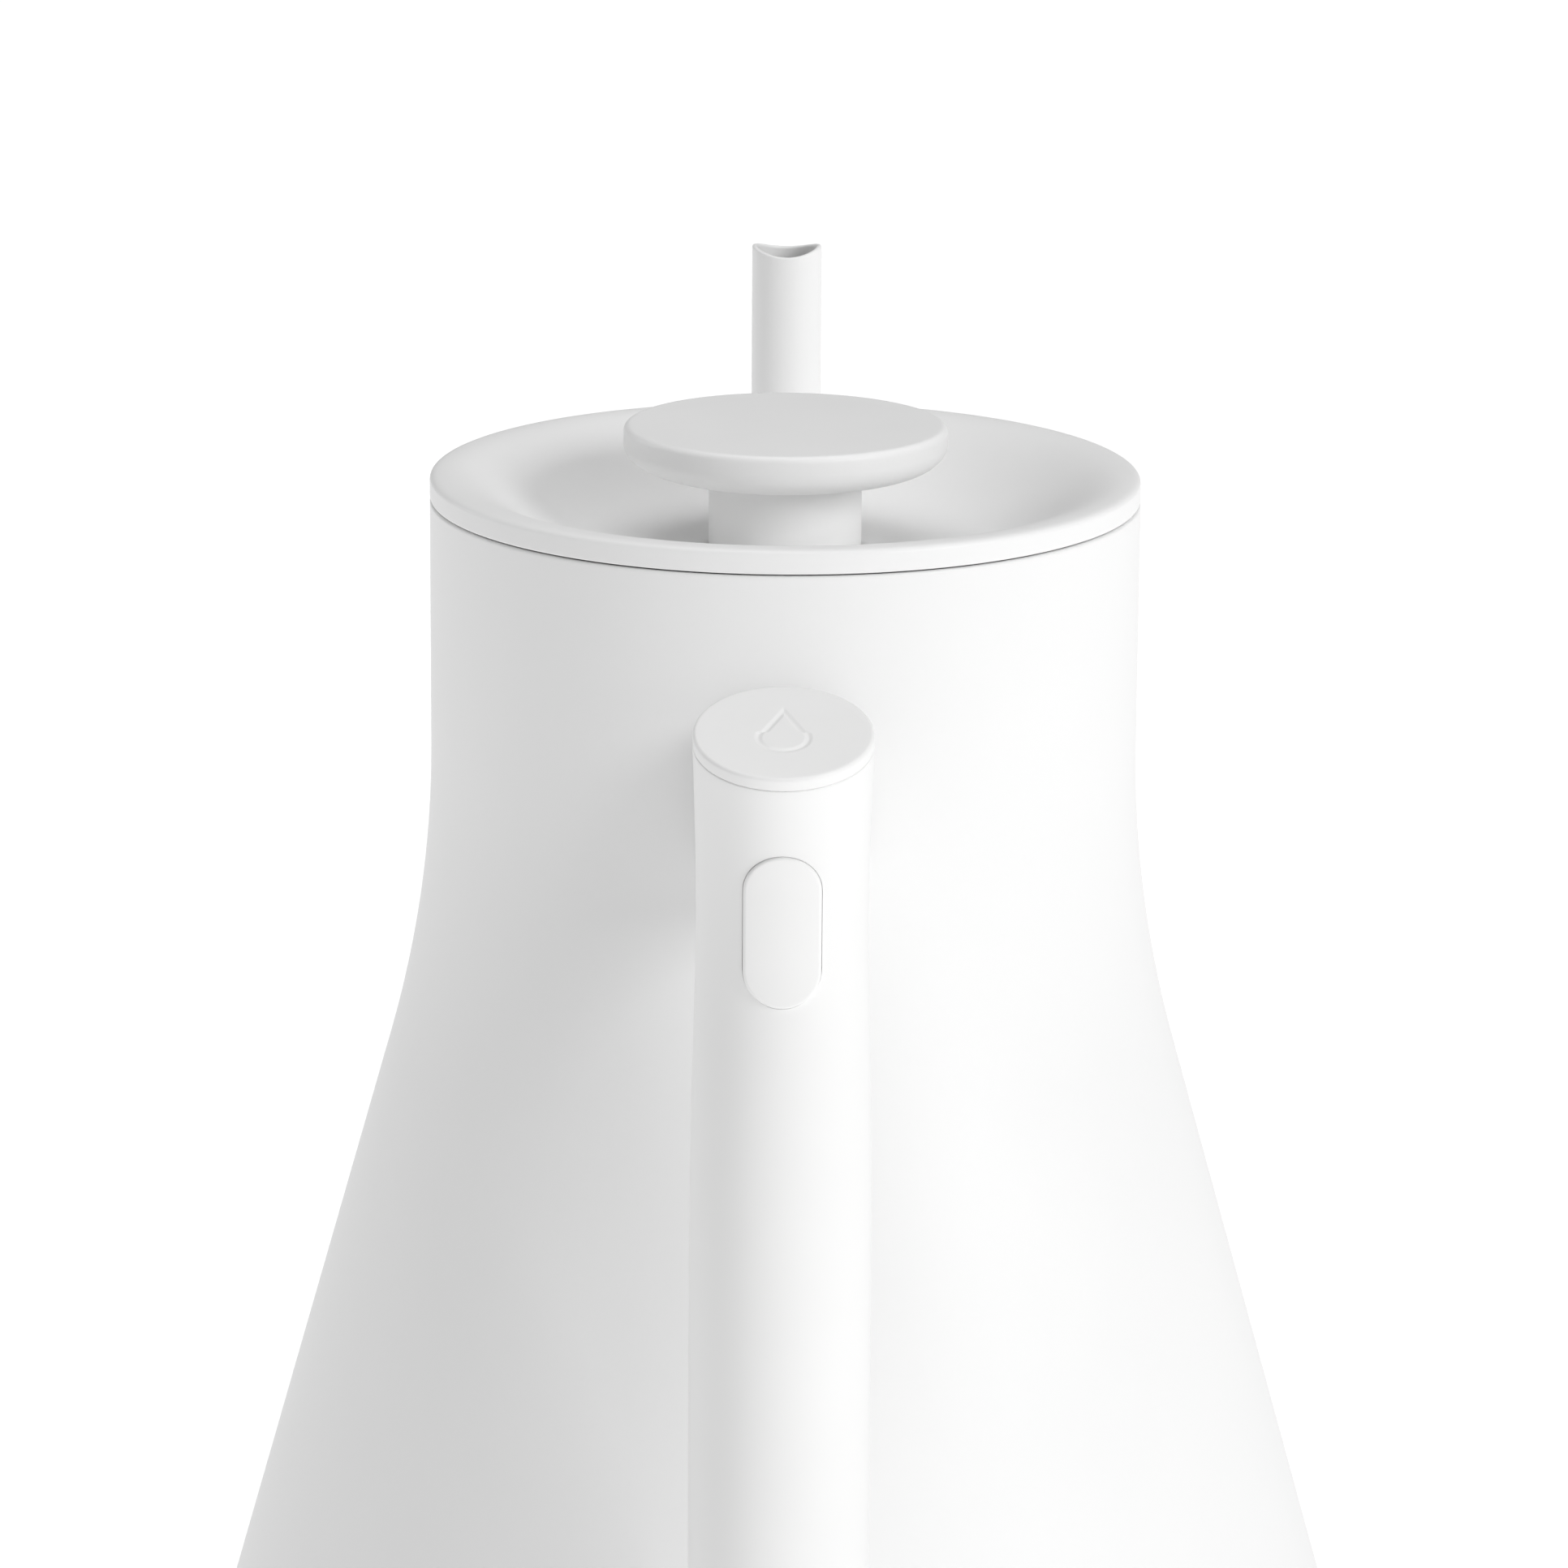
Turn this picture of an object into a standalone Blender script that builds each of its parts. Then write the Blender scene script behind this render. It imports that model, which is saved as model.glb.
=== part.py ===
"""Stovetop whistling kettle with a bar handle, a lid-release button and a slim upright spout.

The kettle stands on z = 0 with its axis on Z. The handle is on the -Y side and the spout on the +Y side.
Sizes below are in millimetres; meshes are written in metres.
"""
import math

import bmesh
import bpy
import numpy as np

MM = 0.001
GAP = 0.3                    # clearance left between two pieces that touch
FIT = 0.35                   # clearance round a piece that slides in a hole

# Facets round a circle
BODY_FACETS = 48
RING_FACETS = 36
HANDLE_FACETS = 24
SMALL_FACETS = 16
HOLE_FACETS = 12

# Body
BODY_HEIGHT = 186.0          # base to the seam under the lid
NECK_RADIUS = 52.0
NECK_LENGTH = 36.8           # straight stretch below the seam
FLARE_LENGTH = 45.8          # curved stretch between the neck and the cone
CONE_SLOPE = 0.282
WALL = 1.0
FLOOR_THICKNESS = 1.2
FLOOR_LEDGE = 1.6               # width of the shell's ledge that the floor rests on
BASE_FILLET = 5.0
SHELL_LIFT = 1.2             # the shell's lowest edge above the table
PLATE_INSET = 8.0            # base plate's edge in from the body's base radius
PLATE_THICKNESS = 4.0

# Lid
SEAM = 0.35                  # dark line between the lid's rim and the body's
RIM_SIDE = 2.7                  # straight side of the lid's rim
RIM_RISE = 3.5                  # top of the rounded rim above the seam
RIM_CREST = 2.0                 # its top in from the lid's edge
LID_SHEET = 1.0
DISH_DEPTH = 7.5             # below the seam
DISH_FLOOR_RADIUS = 16.0
DISH_ENTRY = 3.6                # where the dish's underside meets the flat rim, in from the edge
SKIRT_THICKNESS = 0.8
SKIRT_DEPTH = 16.0
SKIRT_INSET = 3.0            # skirt's outside in from the lid's edge
SKIRT_FLANGE = 3.0
GASKET_TOP = 5.0
GASKET_HEIGHT = 7.0

# Knob and whistle
KNOB_RADIUS = 23.7
KNOB_TOP = 10.7              # above the seam
KNOB_THICKNESS = 6.6
KNOB_EDGE = 1.1
KNOB_UNDER_EDGE = 3.6
STEM_RADIUS = 11.2
STEM_BORE = 8.2
SPIGOT_RADIUS = 9.6
SPIGOT_LENGTH = 7.3
SPIGOT_LIP = 1.7             # lip that the whistle rests on
LIP_THICKNESS = 5.0
BOSS_LENGTH = 3.3
WASHER_THICKNESS = 1.2
WASHER_RADIUS = 14.0
NUT_ACROSS_FLATS = 26.0
NUT_THICKNESS = 3.8
CUP_HEIGHT = 6.0
CUP_SHEET = 0.8
WHISTLE_HOLE = 1.3
PORT_RADIUS = 1.7
PORT_DROP = 0.6              # steam ports' centres below the seam
PORT_ANGLES = (60.0, 90.0, 120.0)

# Spout
SPOUT_ROOT_HEIGHT = 35.0
SPOUT_STANDOFF = 37.2        # upright tube's axis out from the body wall at the root
SPOUT_ROOT_RADIUS = 9.0
SPOUT_TIP_RADIUS = 5.6
SPOUT_WALL = 0.8
SPOUT_TIP_RISE = 16.2        # tip's sides above the seam
SPOUT_STUB = 4.0
SADDLE_DEPTH = 1.15          # front and back of the tip below its sides
COLLAR_RADIUS = 13.5
COLLAR_THICKNESS = 2.2

# Handle
HANDLE_STANDOFF = 58.0       # handle's upright axis out from the neck
HANDLE_RADIUS = 12.3
HANDLE_WALL = 2.2
HANDLE_TOP_DROP = 8.0        # grip's upper end below the seam
HANDLE_BEND_DROP = 50.0      # where the lean starts, below the seam
HANDLE_LENGTH = 138.0        # grip's upper end down to its lower end
HANDLE_LEAN = 17.0           # degrees outwards at the cap
WAIST_DEPTH = 0.8
WAIST_REACH = 26.0           # height over which the waist fades
CAP_THICKNESS = 1.9
CAP_SPIGOT = 4.0
PLUG_THICKNESS = 3.0
PLUG_SPIGOT = 5.0
TIE_ROD_RADIUS = 2.2
TIE_ROD_WALL = 2.0           # arm left in front of the tie rod's socket
TIE_ROD_SOCKET = 4.2
TIE_SCREW_RADIUS = 1.3
TIE_SCREW_HEAD = 2.6
TIE_HEAD_HEIGHT = 1.3
TIE_HEAD_RECESS = 1.8        # depth of the recess for the screw's head in the plug
TIE_SCREW_BITE = 8.0
TIE_ROD_SEAT = 2.0           # tie rod's foot above the grip's lower end

# Arm between the neck and the handle
BUTTON_DROP = 31.8           # button, push rod and arm below the seam
ARM_WIDTH = 15.0
ARM_HEIGHT = 20.0
ARM_CORNER = 7.0
ARM_CLEARANCE = 2.1          # arm's end to the pressed button's lip
FLANGE_WIDTH = 22.0
FLANGE_HEIGHT = 26.0
FLANGE_CORNER = 8.0
FLANGE_THICKNESS = 6.5
GASKET_THICKNESS = 1.2
SCREW_RADIUS = 1.5
SCREW_HEAD_RADIUS = 2.5
SCREW_HEAD_HEIGHT = 1.6
SCREW_BITE = 4.5             # thread inside the arm's flange
SCREW_PLACES = {"left": (-8.0, 7.0), "right": (8.0, 7.0), "lower": (0.0, -9.5)}

# Button and push rod
BUTTON_WIDTH = 10.4
BUTTON_HEIGHT = 21.6
BUTTON_PROUD = 0.4
BUTTON_LIP = 1.0             # flange that keeps the button in the grip, each way
LIP_DEPTH = 1.0
LIP_CLEARANCE = 0.33         # flange's front to the inside of the grip
BUTTON_TRAVEL = 2.5
ROD_RADIUS = 1.5
ROD_IN_BUTTON = 2.5
ROD_INSIDE = 2.0             # push rod's end in from the neck's inner wall
SPRING_RADIUS = 3.0
SPRING_WIRE = 0.35
SPRING_TURNS = 5
SPRING_POCKET = 4.0
SEAL_NECK = 3.0
SEAL_FLANGE = 4.4
SEAL_SHEET = 0.9

# Magnetic catch inside the neck
BRACKET_WIDTH = 24.0
BRACKET_TOP_DROP = 18.5
BRACKET_BOTTOM_DROP = 47.0
BRACKET_SHEET = 0.8
EAR_SPACING = 4.2            # inner face of each ear from the middle
EAR_SHEET = 1.0
PIVOT_INSET = 8.5            # pivot in from the neck's inner wall
PIVOT_DROP = 26.5
PIN_RADIUS = 0.95
PIN_OVERHANG = 1.2
ROCKER_WIDTH = 6.8
NOSE_RADIUS = 0.7
ROCKER_HEAD = 6.0            # top of the rocker above the pivot
MAGNET_RADIUS = 2.2
MAGNET_HEIGHT = 2.3
KEEPER_THICKNESS = 0.8
KEEPER_WIDTH = 10.0
KEEPER_LENGTH = 9.5

LID_AXIS = (0.0, 0.0, BODY_HEIGHT)
BUTTON_Z = BODY_HEIGHT - BUTTON_DROP
NECK_INSIDE = NECK_RADIUS - WALL
HANDLE_Y = -(NECK_RADIUS + HANDLE_STANDOFF)
GRIP_INSIDE = HANDLE_RADIUS - WAIST_DEPTH - HANDLE_WALL
LIP_OFFSET = math.sqrt(GRIP_INSIDE**2 - (BUTTON_WIDTH / 2 + BUTTON_LIP) ** 2) - LIP_DEPTH - LIP_CLEARANCE
ARM_PAST_AXIS = LIP_OFFSET - BUTTON_TRAVEL - ARM_CLEARANCE
TIE_ROD_INSET = TIE_ROD_RADIUS + GAP + TIE_ROD_WALL - ARM_PAST_AXIS
PIVOT = (0.0, -(NECK_INSIDE - PIVOT_INSET), BODY_HEIGHT - PIVOT_DROP)
ROD_AXIS = (0.0, HANDLE_Y, BUTTON_Z)

FINISHES = {
    "white_enamel": ((0.86, 0.86, 0.85), 0.55, 0.0),
    "white_plastic": ((0.85, 0.85, 0.84), 0.5, 0.0),
    "brushed_steel": ((0.62, 0.62, 0.61), 0.32, 1.0),
    "spring_steel": ((0.55, 0.55, 0.56), 0.25, 1.0),
    "grey_silicone": ((0.42, 0.42, 0.42), 0.7, 0.0),
    "magnet": ((0.35, 0.35, 0.37), 0.35, 1.0),
}


def clear_scene():
    """Start from an empty file."""
    for thing in list(bpy.data.objects):
        bpy.data.objects.remove(thing)


def finish(name):
    """Principled material for one of the named finishes."""
    material = bpy.data.materials.get(name)
    if material is None:
        colour, roughness, metallic = FINISHES[name]
        material = bpy.data.materials.new(name)
        material.use_nodes = True
        shader = material.node_tree.nodes["Principled BSDF"]
        shader.inputs["Base Color"].default_value = (*colour, 1.0)
        shader.inputs["Roughness"].default_value = roughness
        shader.inputs["Metallic"].default_value = metallic
    return material


def add_piece(name, rings, material=None, closed=False, parent=None):
    """Object lofted through rings of points, shape (rings, points, 3) in millimetres.

    A closed loft joins its last ring to its first; an open one is capped at both ends.
    The object's origin is its parent empty's place, or the world origin.
    """
    rings = np.asarray(rings, dtype=float)
    origin = np.array(parent.location) if parent else np.zeros(3)
    count, around = rings.shape[:2]
    mesh = bpy.data.meshes.new(name)
    bm = bmesh.new()
    grid = [[bm.verts.new(point * MM - origin) for point in ring] for ring in rings]
    for i in range(count if closed else count - 1):
        for j in range(around):
            here, there = grid[i], grid[(i + 1) % count]
            bm.faces.new((here[j], here[(j + 1) % around], there[(j + 1) % around], there[j]))
    if not closed:
        bm.faces.new(grid[0][::-1])
        bm.faces.new(grid[-1])
    bmesh.ops.remove_doubles(bm, verts=bm.verts, dist=1e-7)
    bmesh.ops.dissolve_degenerate(bm, edges=bm.edges, dist=1e-7)
    bmesh.ops.recalc_face_normals(bm, faces=bm.faces)
    bm.to_mesh(mesh)
    bm.free()
    mesh.shade_smooth()
    mesh.set_sharp_from_angle(angle=math.radians(35))
    piece = bpy.data.objects.new(name, mesh)
    bpy.context.scene.collection.objects.link(piece)
    if material:
        mesh.materials.append(finish(material))
    if parent:
        piece.parent = parent
    return piece


def joint_empty(name, place):
    """Empty on a joint's axis, which the moving pieces are parented to."""
    empty = bpy.data.objects.new(name, None)
    empty.location = [value * MM for value in place]
    bpy.context.scene.collection.objects.link(empty)
    return empty


def cut(piece, tool, operation="DIFFERENCE"):
    """Boolean of piece with a hidden tool."""
    tool.hide_render = True
    tool.display_type = "WIRE"
    modifier = piece.modifiers.new(tool.name, "BOOLEAN")
    modifier.object = tool
    modifier.operation = operation
    modifier.solver = "EXACT"


def circle(radius, around):
    """Points of a circle in its own plane, shape (around, 2)."""
    angles = np.arange(around) * 2 * math.pi / around
    return radius * np.stack([np.cos(angles), np.sin(angles)], axis=1)


def rounded_box(width, height, corner, steps=5):
    """Rounded rectangle in its own plane; a corner of half the width makes a stadium."""
    points = []
    for quarter, (sx, sy) in enumerate(((1, 1), (-1, 1), (-1, -1), (1, -1))):
        middle = np.array([sx * (width / 2 - corner), sy * (height / 2 - corner)])
        for step in range(steps + 1):
            angle = math.pi / 2 * (quarter + step / steps)
            points.append(middle + corner * np.array([math.cos(angle), math.sin(angle)]))
    return np.array(points)


def upright_rings(profile, around, centre=(0.0, 0.0)):
    """Rings about a vertical axis for a profile of (radius, height) points."""
    unit = circle(1.0, around)
    return [[(centre[0] + r * x, centre[1] + r * y, z) for x, y in unit] for r, z in profile]


def level_rings(profile, around, x, z):
    """Rings about an axis along Y for a profile of (radius, y) points."""
    unit = circle(1.0, around)
    return [[(x + r * u, y, z + r * v) for u, v in unit] for r, y in profile]


def prism_rings(outline, start, end, x=0.0, z=0.0):
    """Outline in X and Z carried along Y from start to end."""
    return [[(x + u, y, z + v) for u, v in outline] for y in (start, end)]


def drill(name, radius, start, end, x=0.0, z=0.0, around=HOLE_FACETS):
    """Cutter along Y."""
    return add_piece(name, level_rings([(radius, start), (radius, end)], around, x, z))


def body_radius(z):
    """Body's outer radius at height z: a straight neck, a parabolic flare and a straight cone."""
    drop = BODY_HEIGHT - z
    flare = min(max(drop - NECK_LENGTH, 0.0), FLARE_LENGTH)
    cone = max(drop - NECK_LENGTH - FLARE_LENGTH, 0.0)
    return NECK_RADIUS + CONE_SLOPE * (flare**2 / (2 * FLARE_LENGTH) + cone)


def wall_heights(bottom, top):
    """Heights from top to bottom that the wall's shape needs."""
    flare_top = BODY_HEIGHT - NECK_LENGTH
    steps = [flare_top - FLARE_LENGTH * step / 5 for step in range(6)]
    return [top] + [z for z in steps if bottom < z < top] + [bottom]


def body_envelope(name, offset, bottom, top):
    """Solid of the body's outer shape grown by offset, for cutting what seats on it."""
    profile = [(body_radius(z) + offset, z) for z in wall_heights(bottom, top)]
    return add_piece(name, upright_rings([(0, top)] + profile + [(0, bottom)], BODY_FACETS))


def floor_radius():
    """Radius of the body's floor."""
    return body_radius(0) - PLATE_INSET + GAP + FLOOR_LEDGE


def body_shell():
    """Body: one sheet from the rim down to the base's corner, with a ledge inside for the floor."""
    lean = math.atan(CONE_SLOPE)
    centre_z = SHELL_LIFT + BASE_FILLET
    corner_top = centre_z + BASE_FILLET * math.sin(lean)
    centre_r = body_radius(corner_top) - BASE_FILLET * math.cos(lean)
    floor_top = PLATE_THICKNESS + GAP + FLOOR_THICKNESS
    recess = floor_radius() - FLOOR_LEDGE
    pocket = floor_radius() + GAP
    outer = [(body_radius(z), z) for z in wall_heights(corner_top, BODY_HEIGHT - SEAM)]
    for step in range(1, 4):
        angle = lean - (lean + math.pi / 2) * step / 3
        outer.append((centre_r + BASE_FILLET * math.cos(angle), centre_z + BASE_FILLET * math.sin(angle)))
    foot = [
        (recess, SHELL_LIFT), (recess, PLATE_THICKNESS), (pocket, PLATE_THICKNESS), (pocket, floor_top + 0.8),
    ]
    inner_corner = floor_top + BASE_FILLET
    wall = [(body_radius(z) - WALL, z) for z in wall_heights(inner_corner, BODY_HEIGHT - SEAM)][::-1]
    rings = upright_rings(wall + outer + foot, BODY_FACETS)
    shell = add_piece("body_shell", rings, "white_enamel", closed=True)
    cut(shell, spout_bore_tool())
    cut(shell, drill("rod_hole_tool", SEAL_NECK + GAP, -NECK_RADIUS - 5, -NECK_RADIUS + 5, z=BUTTON_Z))
    for side, (x, rise) in SCREW_PLACES.items():
        name = f"wall_hole_{side}_tool"
        cut(shell, drill(name, SCREW_RADIUS + GAP, -NECK_RADIUS - 5, -NECK_RADIUS + 6, x, BUTTON_Z + rise))


def body_floor():
    """Flat disc that closes the body, seated on the shell's ledge."""
    low = PLATE_THICKNESS + GAP
    top = low + FLOOR_THICKNESS
    profile = [(0, low), (floor_radius(), low), (floor_radius(), top), (0, top)]
    add_piece("body_floor", upright_rings(profile, BODY_FACETS), "white_enamel")


def base_plate():
    """Heat-spreading disc under the floor, which the kettle stands on."""
    radius = body_radius(0) - PLATE_INSET
    profile = [(0, 0), (radius - 1, 0), (radius, 1), (radius, PLATE_THICKNESS), (0, PLATE_THICKNESS)]
    add_piece("base_plate", upright_rings(profile, BODY_FACETS), "brushed_steel")


def spout_path():
    """Centre line of the spout as (y, z, angle above level, radius) rows.

    It leaves square to the cone, bends upright on one arc and runs straight up to the tip.
    """
    lean = math.atan(CONE_SLOPE)
    wall = body_radius(SPOUT_ROOT_HEIGHT)
    turn = (SPOUT_STANDOFF - SPOUT_STUB * math.cos(lean)) / (1 - math.sin(lean))
    bend_y = wall + SPOUT_STUB * math.cos(lean)
    bend_z = SPOUT_ROOT_HEIGHT + SPOUT_STUB * math.sin(lean)
    inside = WALL + 2.0
    rows = [(wall - inside * math.cos(lean), SPOUT_ROOT_HEIGHT - inside * math.sin(lean), lean)]
    rows.append((bend_y, bend_z, lean))
    for step in range(1, 10):
        angle = lean + (math.pi / 2 - lean) * step / 9
        y = bend_y + turn * (math.sin(angle) - math.sin(lean))
        rows.append((y, bend_z + turn * (math.cos(lean) - math.cos(angle)), angle))
    top = BODY_HEIGHT + SPOUT_TIP_RISE
    y, arc_top, upright = rows[-1]
    rows += [(y, arc_top + (top - arc_top) * part, upright) for part in (0.33, 0.66, 0.93, 1.0)]
    heights = [row[1] for row in rows]
    taper_top = arc_top + (top - arc_top) * 0.66
    radii = [
        SPOUT_ROOT_RADIUS
        + (SPOUT_TIP_RADIUS - SPOUT_ROOT_RADIUS)
        * min(max((z - bend_z) / (taper_top - bend_z), 0.0), 1.0)
        for z in heights
    ]
    return [(*row, radius) for row, radius in zip(rows, radii)]


def spout_rings(shrink, around=SMALL_FACETS):
    """Rings square to the spout's path, with the tip's front and back cut lower than its sides."""
    rings = []
    path = spout_path()
    unit = circle(1.0, around)
    for index, (y, z, angle, radius) in enumerate(path):
        r = radius - shrink
        ring = [(r * u, y - r * v * math.sin(angle), z + r * v * math.cos(angle)) for u, v in unit]
        if index == len(path) - 1:
            ring = [(px, py, pz - SADDLE_DEPTH * v * v) for (px, py, pz), (u, v) in zip(ring, unit)]
        rings.append(ring)
    return rings


def spout_tube():
    """Slim drawn tube of the spout."""
    rings = spout_rings(0.0) + spout_rings(SPOUT_WALL)[::-1]
    add_piece("spout_tube", rings, "white_enamel", closed=True)


def root_rings(profile, around=HANDLE_FACETS):
    """Rings about the spout's root axis for a profile of (radius, distance outwards) points."""
    lean = math.atan(CONE_SLOPE)
    wall = body_radius(SPOUT_ROOT_HEIGHT)
    along = np.array([0, math.cos(lean), math.sin(lean)])
    across = np.array([0, -math.sin(lean), math.cos(lean)])
    foot = np.array([0, wall, SPOUT_ROOT_HEIGHT])
    side = np.array([1.0, 0, 0])
    unit = circle(1.0, around)
    return [[foot + along * t + r * (side * u + across * v) for u, v in unit] for r, t in profile]


def spout_bore_tool():
    """Hole in the body wall that the spout's root passes through."""
    radius = SPOUT_ROOT_RADIUS + GAP
    return add_piece("spout_bore_tool", root_rings([(radius, -8), (radius, 6)]))


def spout_collar():
    """Welded ring round the spout's root, shaped to the cone."""
    inside = SPOUT_ROOT_RADIUS + GAP
    profile = [
        (inside, -3), (COLLAR_RADIUS, -3), (COLLAR_RADIUS, COLLAR_THICKNESS / 2),
        (inside + 1, COLLAR_THICKNESS), (inside, COLLAR_THICKNESS),
    ]
    collar = add_piece("spout_collar", root_rings(profile), "white_enamel", closed=True)
    low, high = SPOUT_ROOT_HEIGHT - 30, SPOUT_ROOT_HEIGHT + 30
    cut(collar, body_envelope("collar_seat_tool", GAP, low, high))


def flange_slab(name, start, end, width, height, corner, material, drop=BUTTON_DROP):
    """Rounded slab across the arm's axis."""
    outline = rounded_box(width, height, corner)
    return add_piece(name, prism_rings(outline, start, end, z=BODY_HEIGHT - drop), material)


def bridge_arm():
    """Arm that carries the handle: an oval beam with a saddle flange on the neck."""
    seat = NECK_RADIUS + GASKET_THICKNESS + 2 * GAP
    outline = rounded_box(ARM_WIDTH, ARM_HEIGHT, ARM_CORNER)
    rings = prism_rings(outline, HANDLE_Y - ARM_PAST_AXIS, -seat - 1, z=BUTTON_Z)
    arm = add_piece("bridge_arm", rings, "white_plastic")
    flange = flange_slab(
        "arm_flange_tool", -seat - FLANGE_THICKNESS, -NECK_RADIUS + 3,
        FLANGE_WIDTH, FLANGE_HEIGHT, FLANGE_CORNER, None,
    )
    cut(arm, flange, "UNION")
    reach = FLANGE_HEIGHT
    cut(arm, body_envelope("arm_seat_tool", seat - NECK_RADIUS, BUTTON_Z - reach, BUTTON_Z + reach))
    bore = ROD_RADIUS + FIT
    pocket = SPRING_RADIUS + SPRING_WIRE + GAP
    pocket_end = HANDLE_Y - ARM_PAST_AXIS + SPRING_POCKET
    seal_end = -NECK_RADIUS - GAP - 2 * SEAL_SHEET - GAP
    steps = [
        (pocket, HANDLE_Y - 10), (pocket, pocket_end), (bore, pocket_end),
        (bore, seal_end), (SEAL_FLANGE + GAP, seal_end), (SEAL_FLANGE + GAP, -NECK_RADIUS + 5),
    ]
    cut(arm, add_piece("arm_bore_tool", level_rings(steps, SMALL_FACETS, 0.0, BUTTON_Z)))
    for side, (x, rise) in SCREW_PLACES.items():
        end = -seat - SCREW_BITE - GAP
        cut(arm, drill(f"arm_pilot_{side}_tool", SCREW_RADIUS + GAP, end, -40, x, BUTTON_Z + rise))
    socket_low = BUTTON_Z - ARM_HEIGHT / 2
    profile = [(TIE_ROD_RADIUS + GAP, socket_low - 3), (TIE_ROD_RADIUS + GAP, socket_low + TIE_ROD_SOCKET)]
    rod_place = (0.0, HANDLE_Y + TIE_ROD_INSET)
    cut(arm, add_piece("tie_socket_tool", upright_rings(profile, HOLE_FACETS, rod_place)))


def arm_gasket():
    """Silicone pad between the neck and the arm's flange."""
    gasket = flange_slab(
        "arm_gasket", -NECK_RADIUS - 6, -NECK_RADIUS + 4,
        FLANGE_WIDTH, FLANGE_HEIGHT, FLANGE_CORNER, "grey_silicone",
    )
    low, high = BUTTON_Z - FLANGE_HEIGHT, BUTTON_Z + FLANGE_HEIGHT
    cut(gasket, body_envelope("gasket_outside_tool", GAP + GASKET_THICKNESS, low, high), "INTERSECT")
    cut(gasket, body_envelope("gasket_inside_tool", GAP, low, high))
    cut(gasket, drill("gasket_rod_tool", SEAL_FLANGE + GAP, -NECK_RADIUS - 8, -NECK_RADIUS + 8, z=BUTTON_Z))
    for side, (x, rise) in SCREW_PLACES.items():
        name = f"gasket_hole_{side}_tool"
        cut(gasket, drill(name, SCREW_RADIUS + GAP, -NECK_RADIUS - 8, -NECK_RADIUS + 8, x, BUTTON_Z + rise))


def neck_inside_y(x):
    """Y of the neck's inner wall on the handle side, at x."""
    return -math.sqrt(NECK_INSIDE**2 - x**2)


def arm_screws():
    """Three screws from inside the neck, through the catch's bracket, into the arm's flange."""
    for side, (x, rise) in SCREW_PLACES.items():
        edge = abs(x) + SCREW_HEAD_RADIUS
        seat = neck_inside_y(edge) + 2 * GAP + BRACKET_SHEET
        tip = -NECK_RADIUS - GASKET_THICKNESS - 2 * GAP - SCREW_BITE
        head = seat + SCREW_HEAD_HEIGHT
        profile = [
            (0, tip), (SCREW_RADIUS - 0.4, tip), (SCREW_RADIUS, tip + 0.6), (SCREW_RADIUS, seat),
            (SCREW_HEAD_RADIUS, seat), (SCREW_HEAD_RADIUS - 0.5, head), (0, head),
        ]
        add_piece(f"arm_screw_{side}", level_rings(profile, HOLE_FACETS, x, BUTTON_Z + rise), "brushed_steel")


def rod_seal():
    """Silicone grommet where the push rod passes through the neck wall."""
    inside, outside = -NECK_INSIDE + 0.5, -NECK_RADIUS - 0.4
    bore = ROD_RADIUS + FIT
    profile = [
        (bore, outside - SEAL_SHEET), (SEAL_FLANGE, outside - SEAL_SHEET), (SEAL_FLANGE, outside),
        (SEAL_NECK, outside), (SEAL_NECK, inside), (SEAL_FLANGE, inside),
        (SEAL_FLANGE, inside + SEAL_SHEET), (bore, inside + SEAL_SHEET),
    ]
    add_piece("rod_seal", level_rings(profile, SMALL_FACETS, 0.0, BUTTON_Z), "grey_silicone", closed=True)


def latch_bracket():
    """Bracket inside the neck: a curved plate under the arm's screws, with two ears for the catch's pin."""
    tall = BRACKET_BOTTOM_DROP - BRACKET_TOP_DROP
    middle = (BRACKET_BOTTOM_DROP + BRACKET_TOP_DROP) / 2
    low, high = BODY_HEIGHT - BRACKET_BOTTOM_DROP - 5, BODY_HEIGHT - BRACKET_TOP_DROP + 5
    slab = (-NECK_INSIDE - 3, -NECK_INSIDE + 6, BRACKET_WIDTH, tall, 4.0, "brushed_steel", middle)
    bracket = flange_slab("latch_bracket", *slab)
    cut(bracket, body_envelope("bracket_outside_tool", -WALL - GAP, low, high), "INTERSECT")
    cut(bracket, body_envelope("bracket_inside_tool", -WALL - GAP - BRACKET_SHEET, low - 2, high + 2))
    root = -NECK_INSIDE + GAP + BRACKET_SHEET / 2
    tip = PIVOT[1] + 2.4
    outline = [(root, -8.5), (root + 2, -8.5), (tip, -2.4), (tip, 2.4), (root + 2, 4.5), (root, 4.5)]
    for side, x in (("left", -EAR_SPACING - EAR_SHEET), ("right", EAR_SPACING)):
        rings = [[(at, y, PIVOT[2] + z) for y, z in outline] for at in (x, x + EAR_SHEET)]
        cut(bracket, add_piece(f"ear_{side}_tool", rings), "UNION")
    cut(bracket, pivot_tool("ear_hole_tool", PIN_RADIUS + GAP))
    cut(bracket, drill("bracket_rod_tool", SEAL_FLANGE + GAP, -NECK_RADIUS, -NECK_INSIDE + 4, z=BUTTON_Z))
    for side, (x, rise) in SCREW_PLACES.items():
        name = f"bracket_hole_{side}_tool"
        cut(bracket, drill(name, SCREW_RADIUS + GAP, -NECK_RADIUS, -NECK_INSIDE + 6, x, BUTTON_Z + rise))


def pivot_tool(name, radius, reach=12.0):
    """Cutter along X on the catch's pivot."""
    return add_piece(name, pivot_rings([(radius, -reach), (radius, reach)]))


def pivot_rings(profile, around=HOLE_FACETS):
    """Rings about the catch's pivot for a profile of (radius, x) points."""
    return [[(x, PIVOT[1] + r * u, PIVOT[2] + r * v) for u, v in circle(1.0, around)] for r, x in profile]


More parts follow.
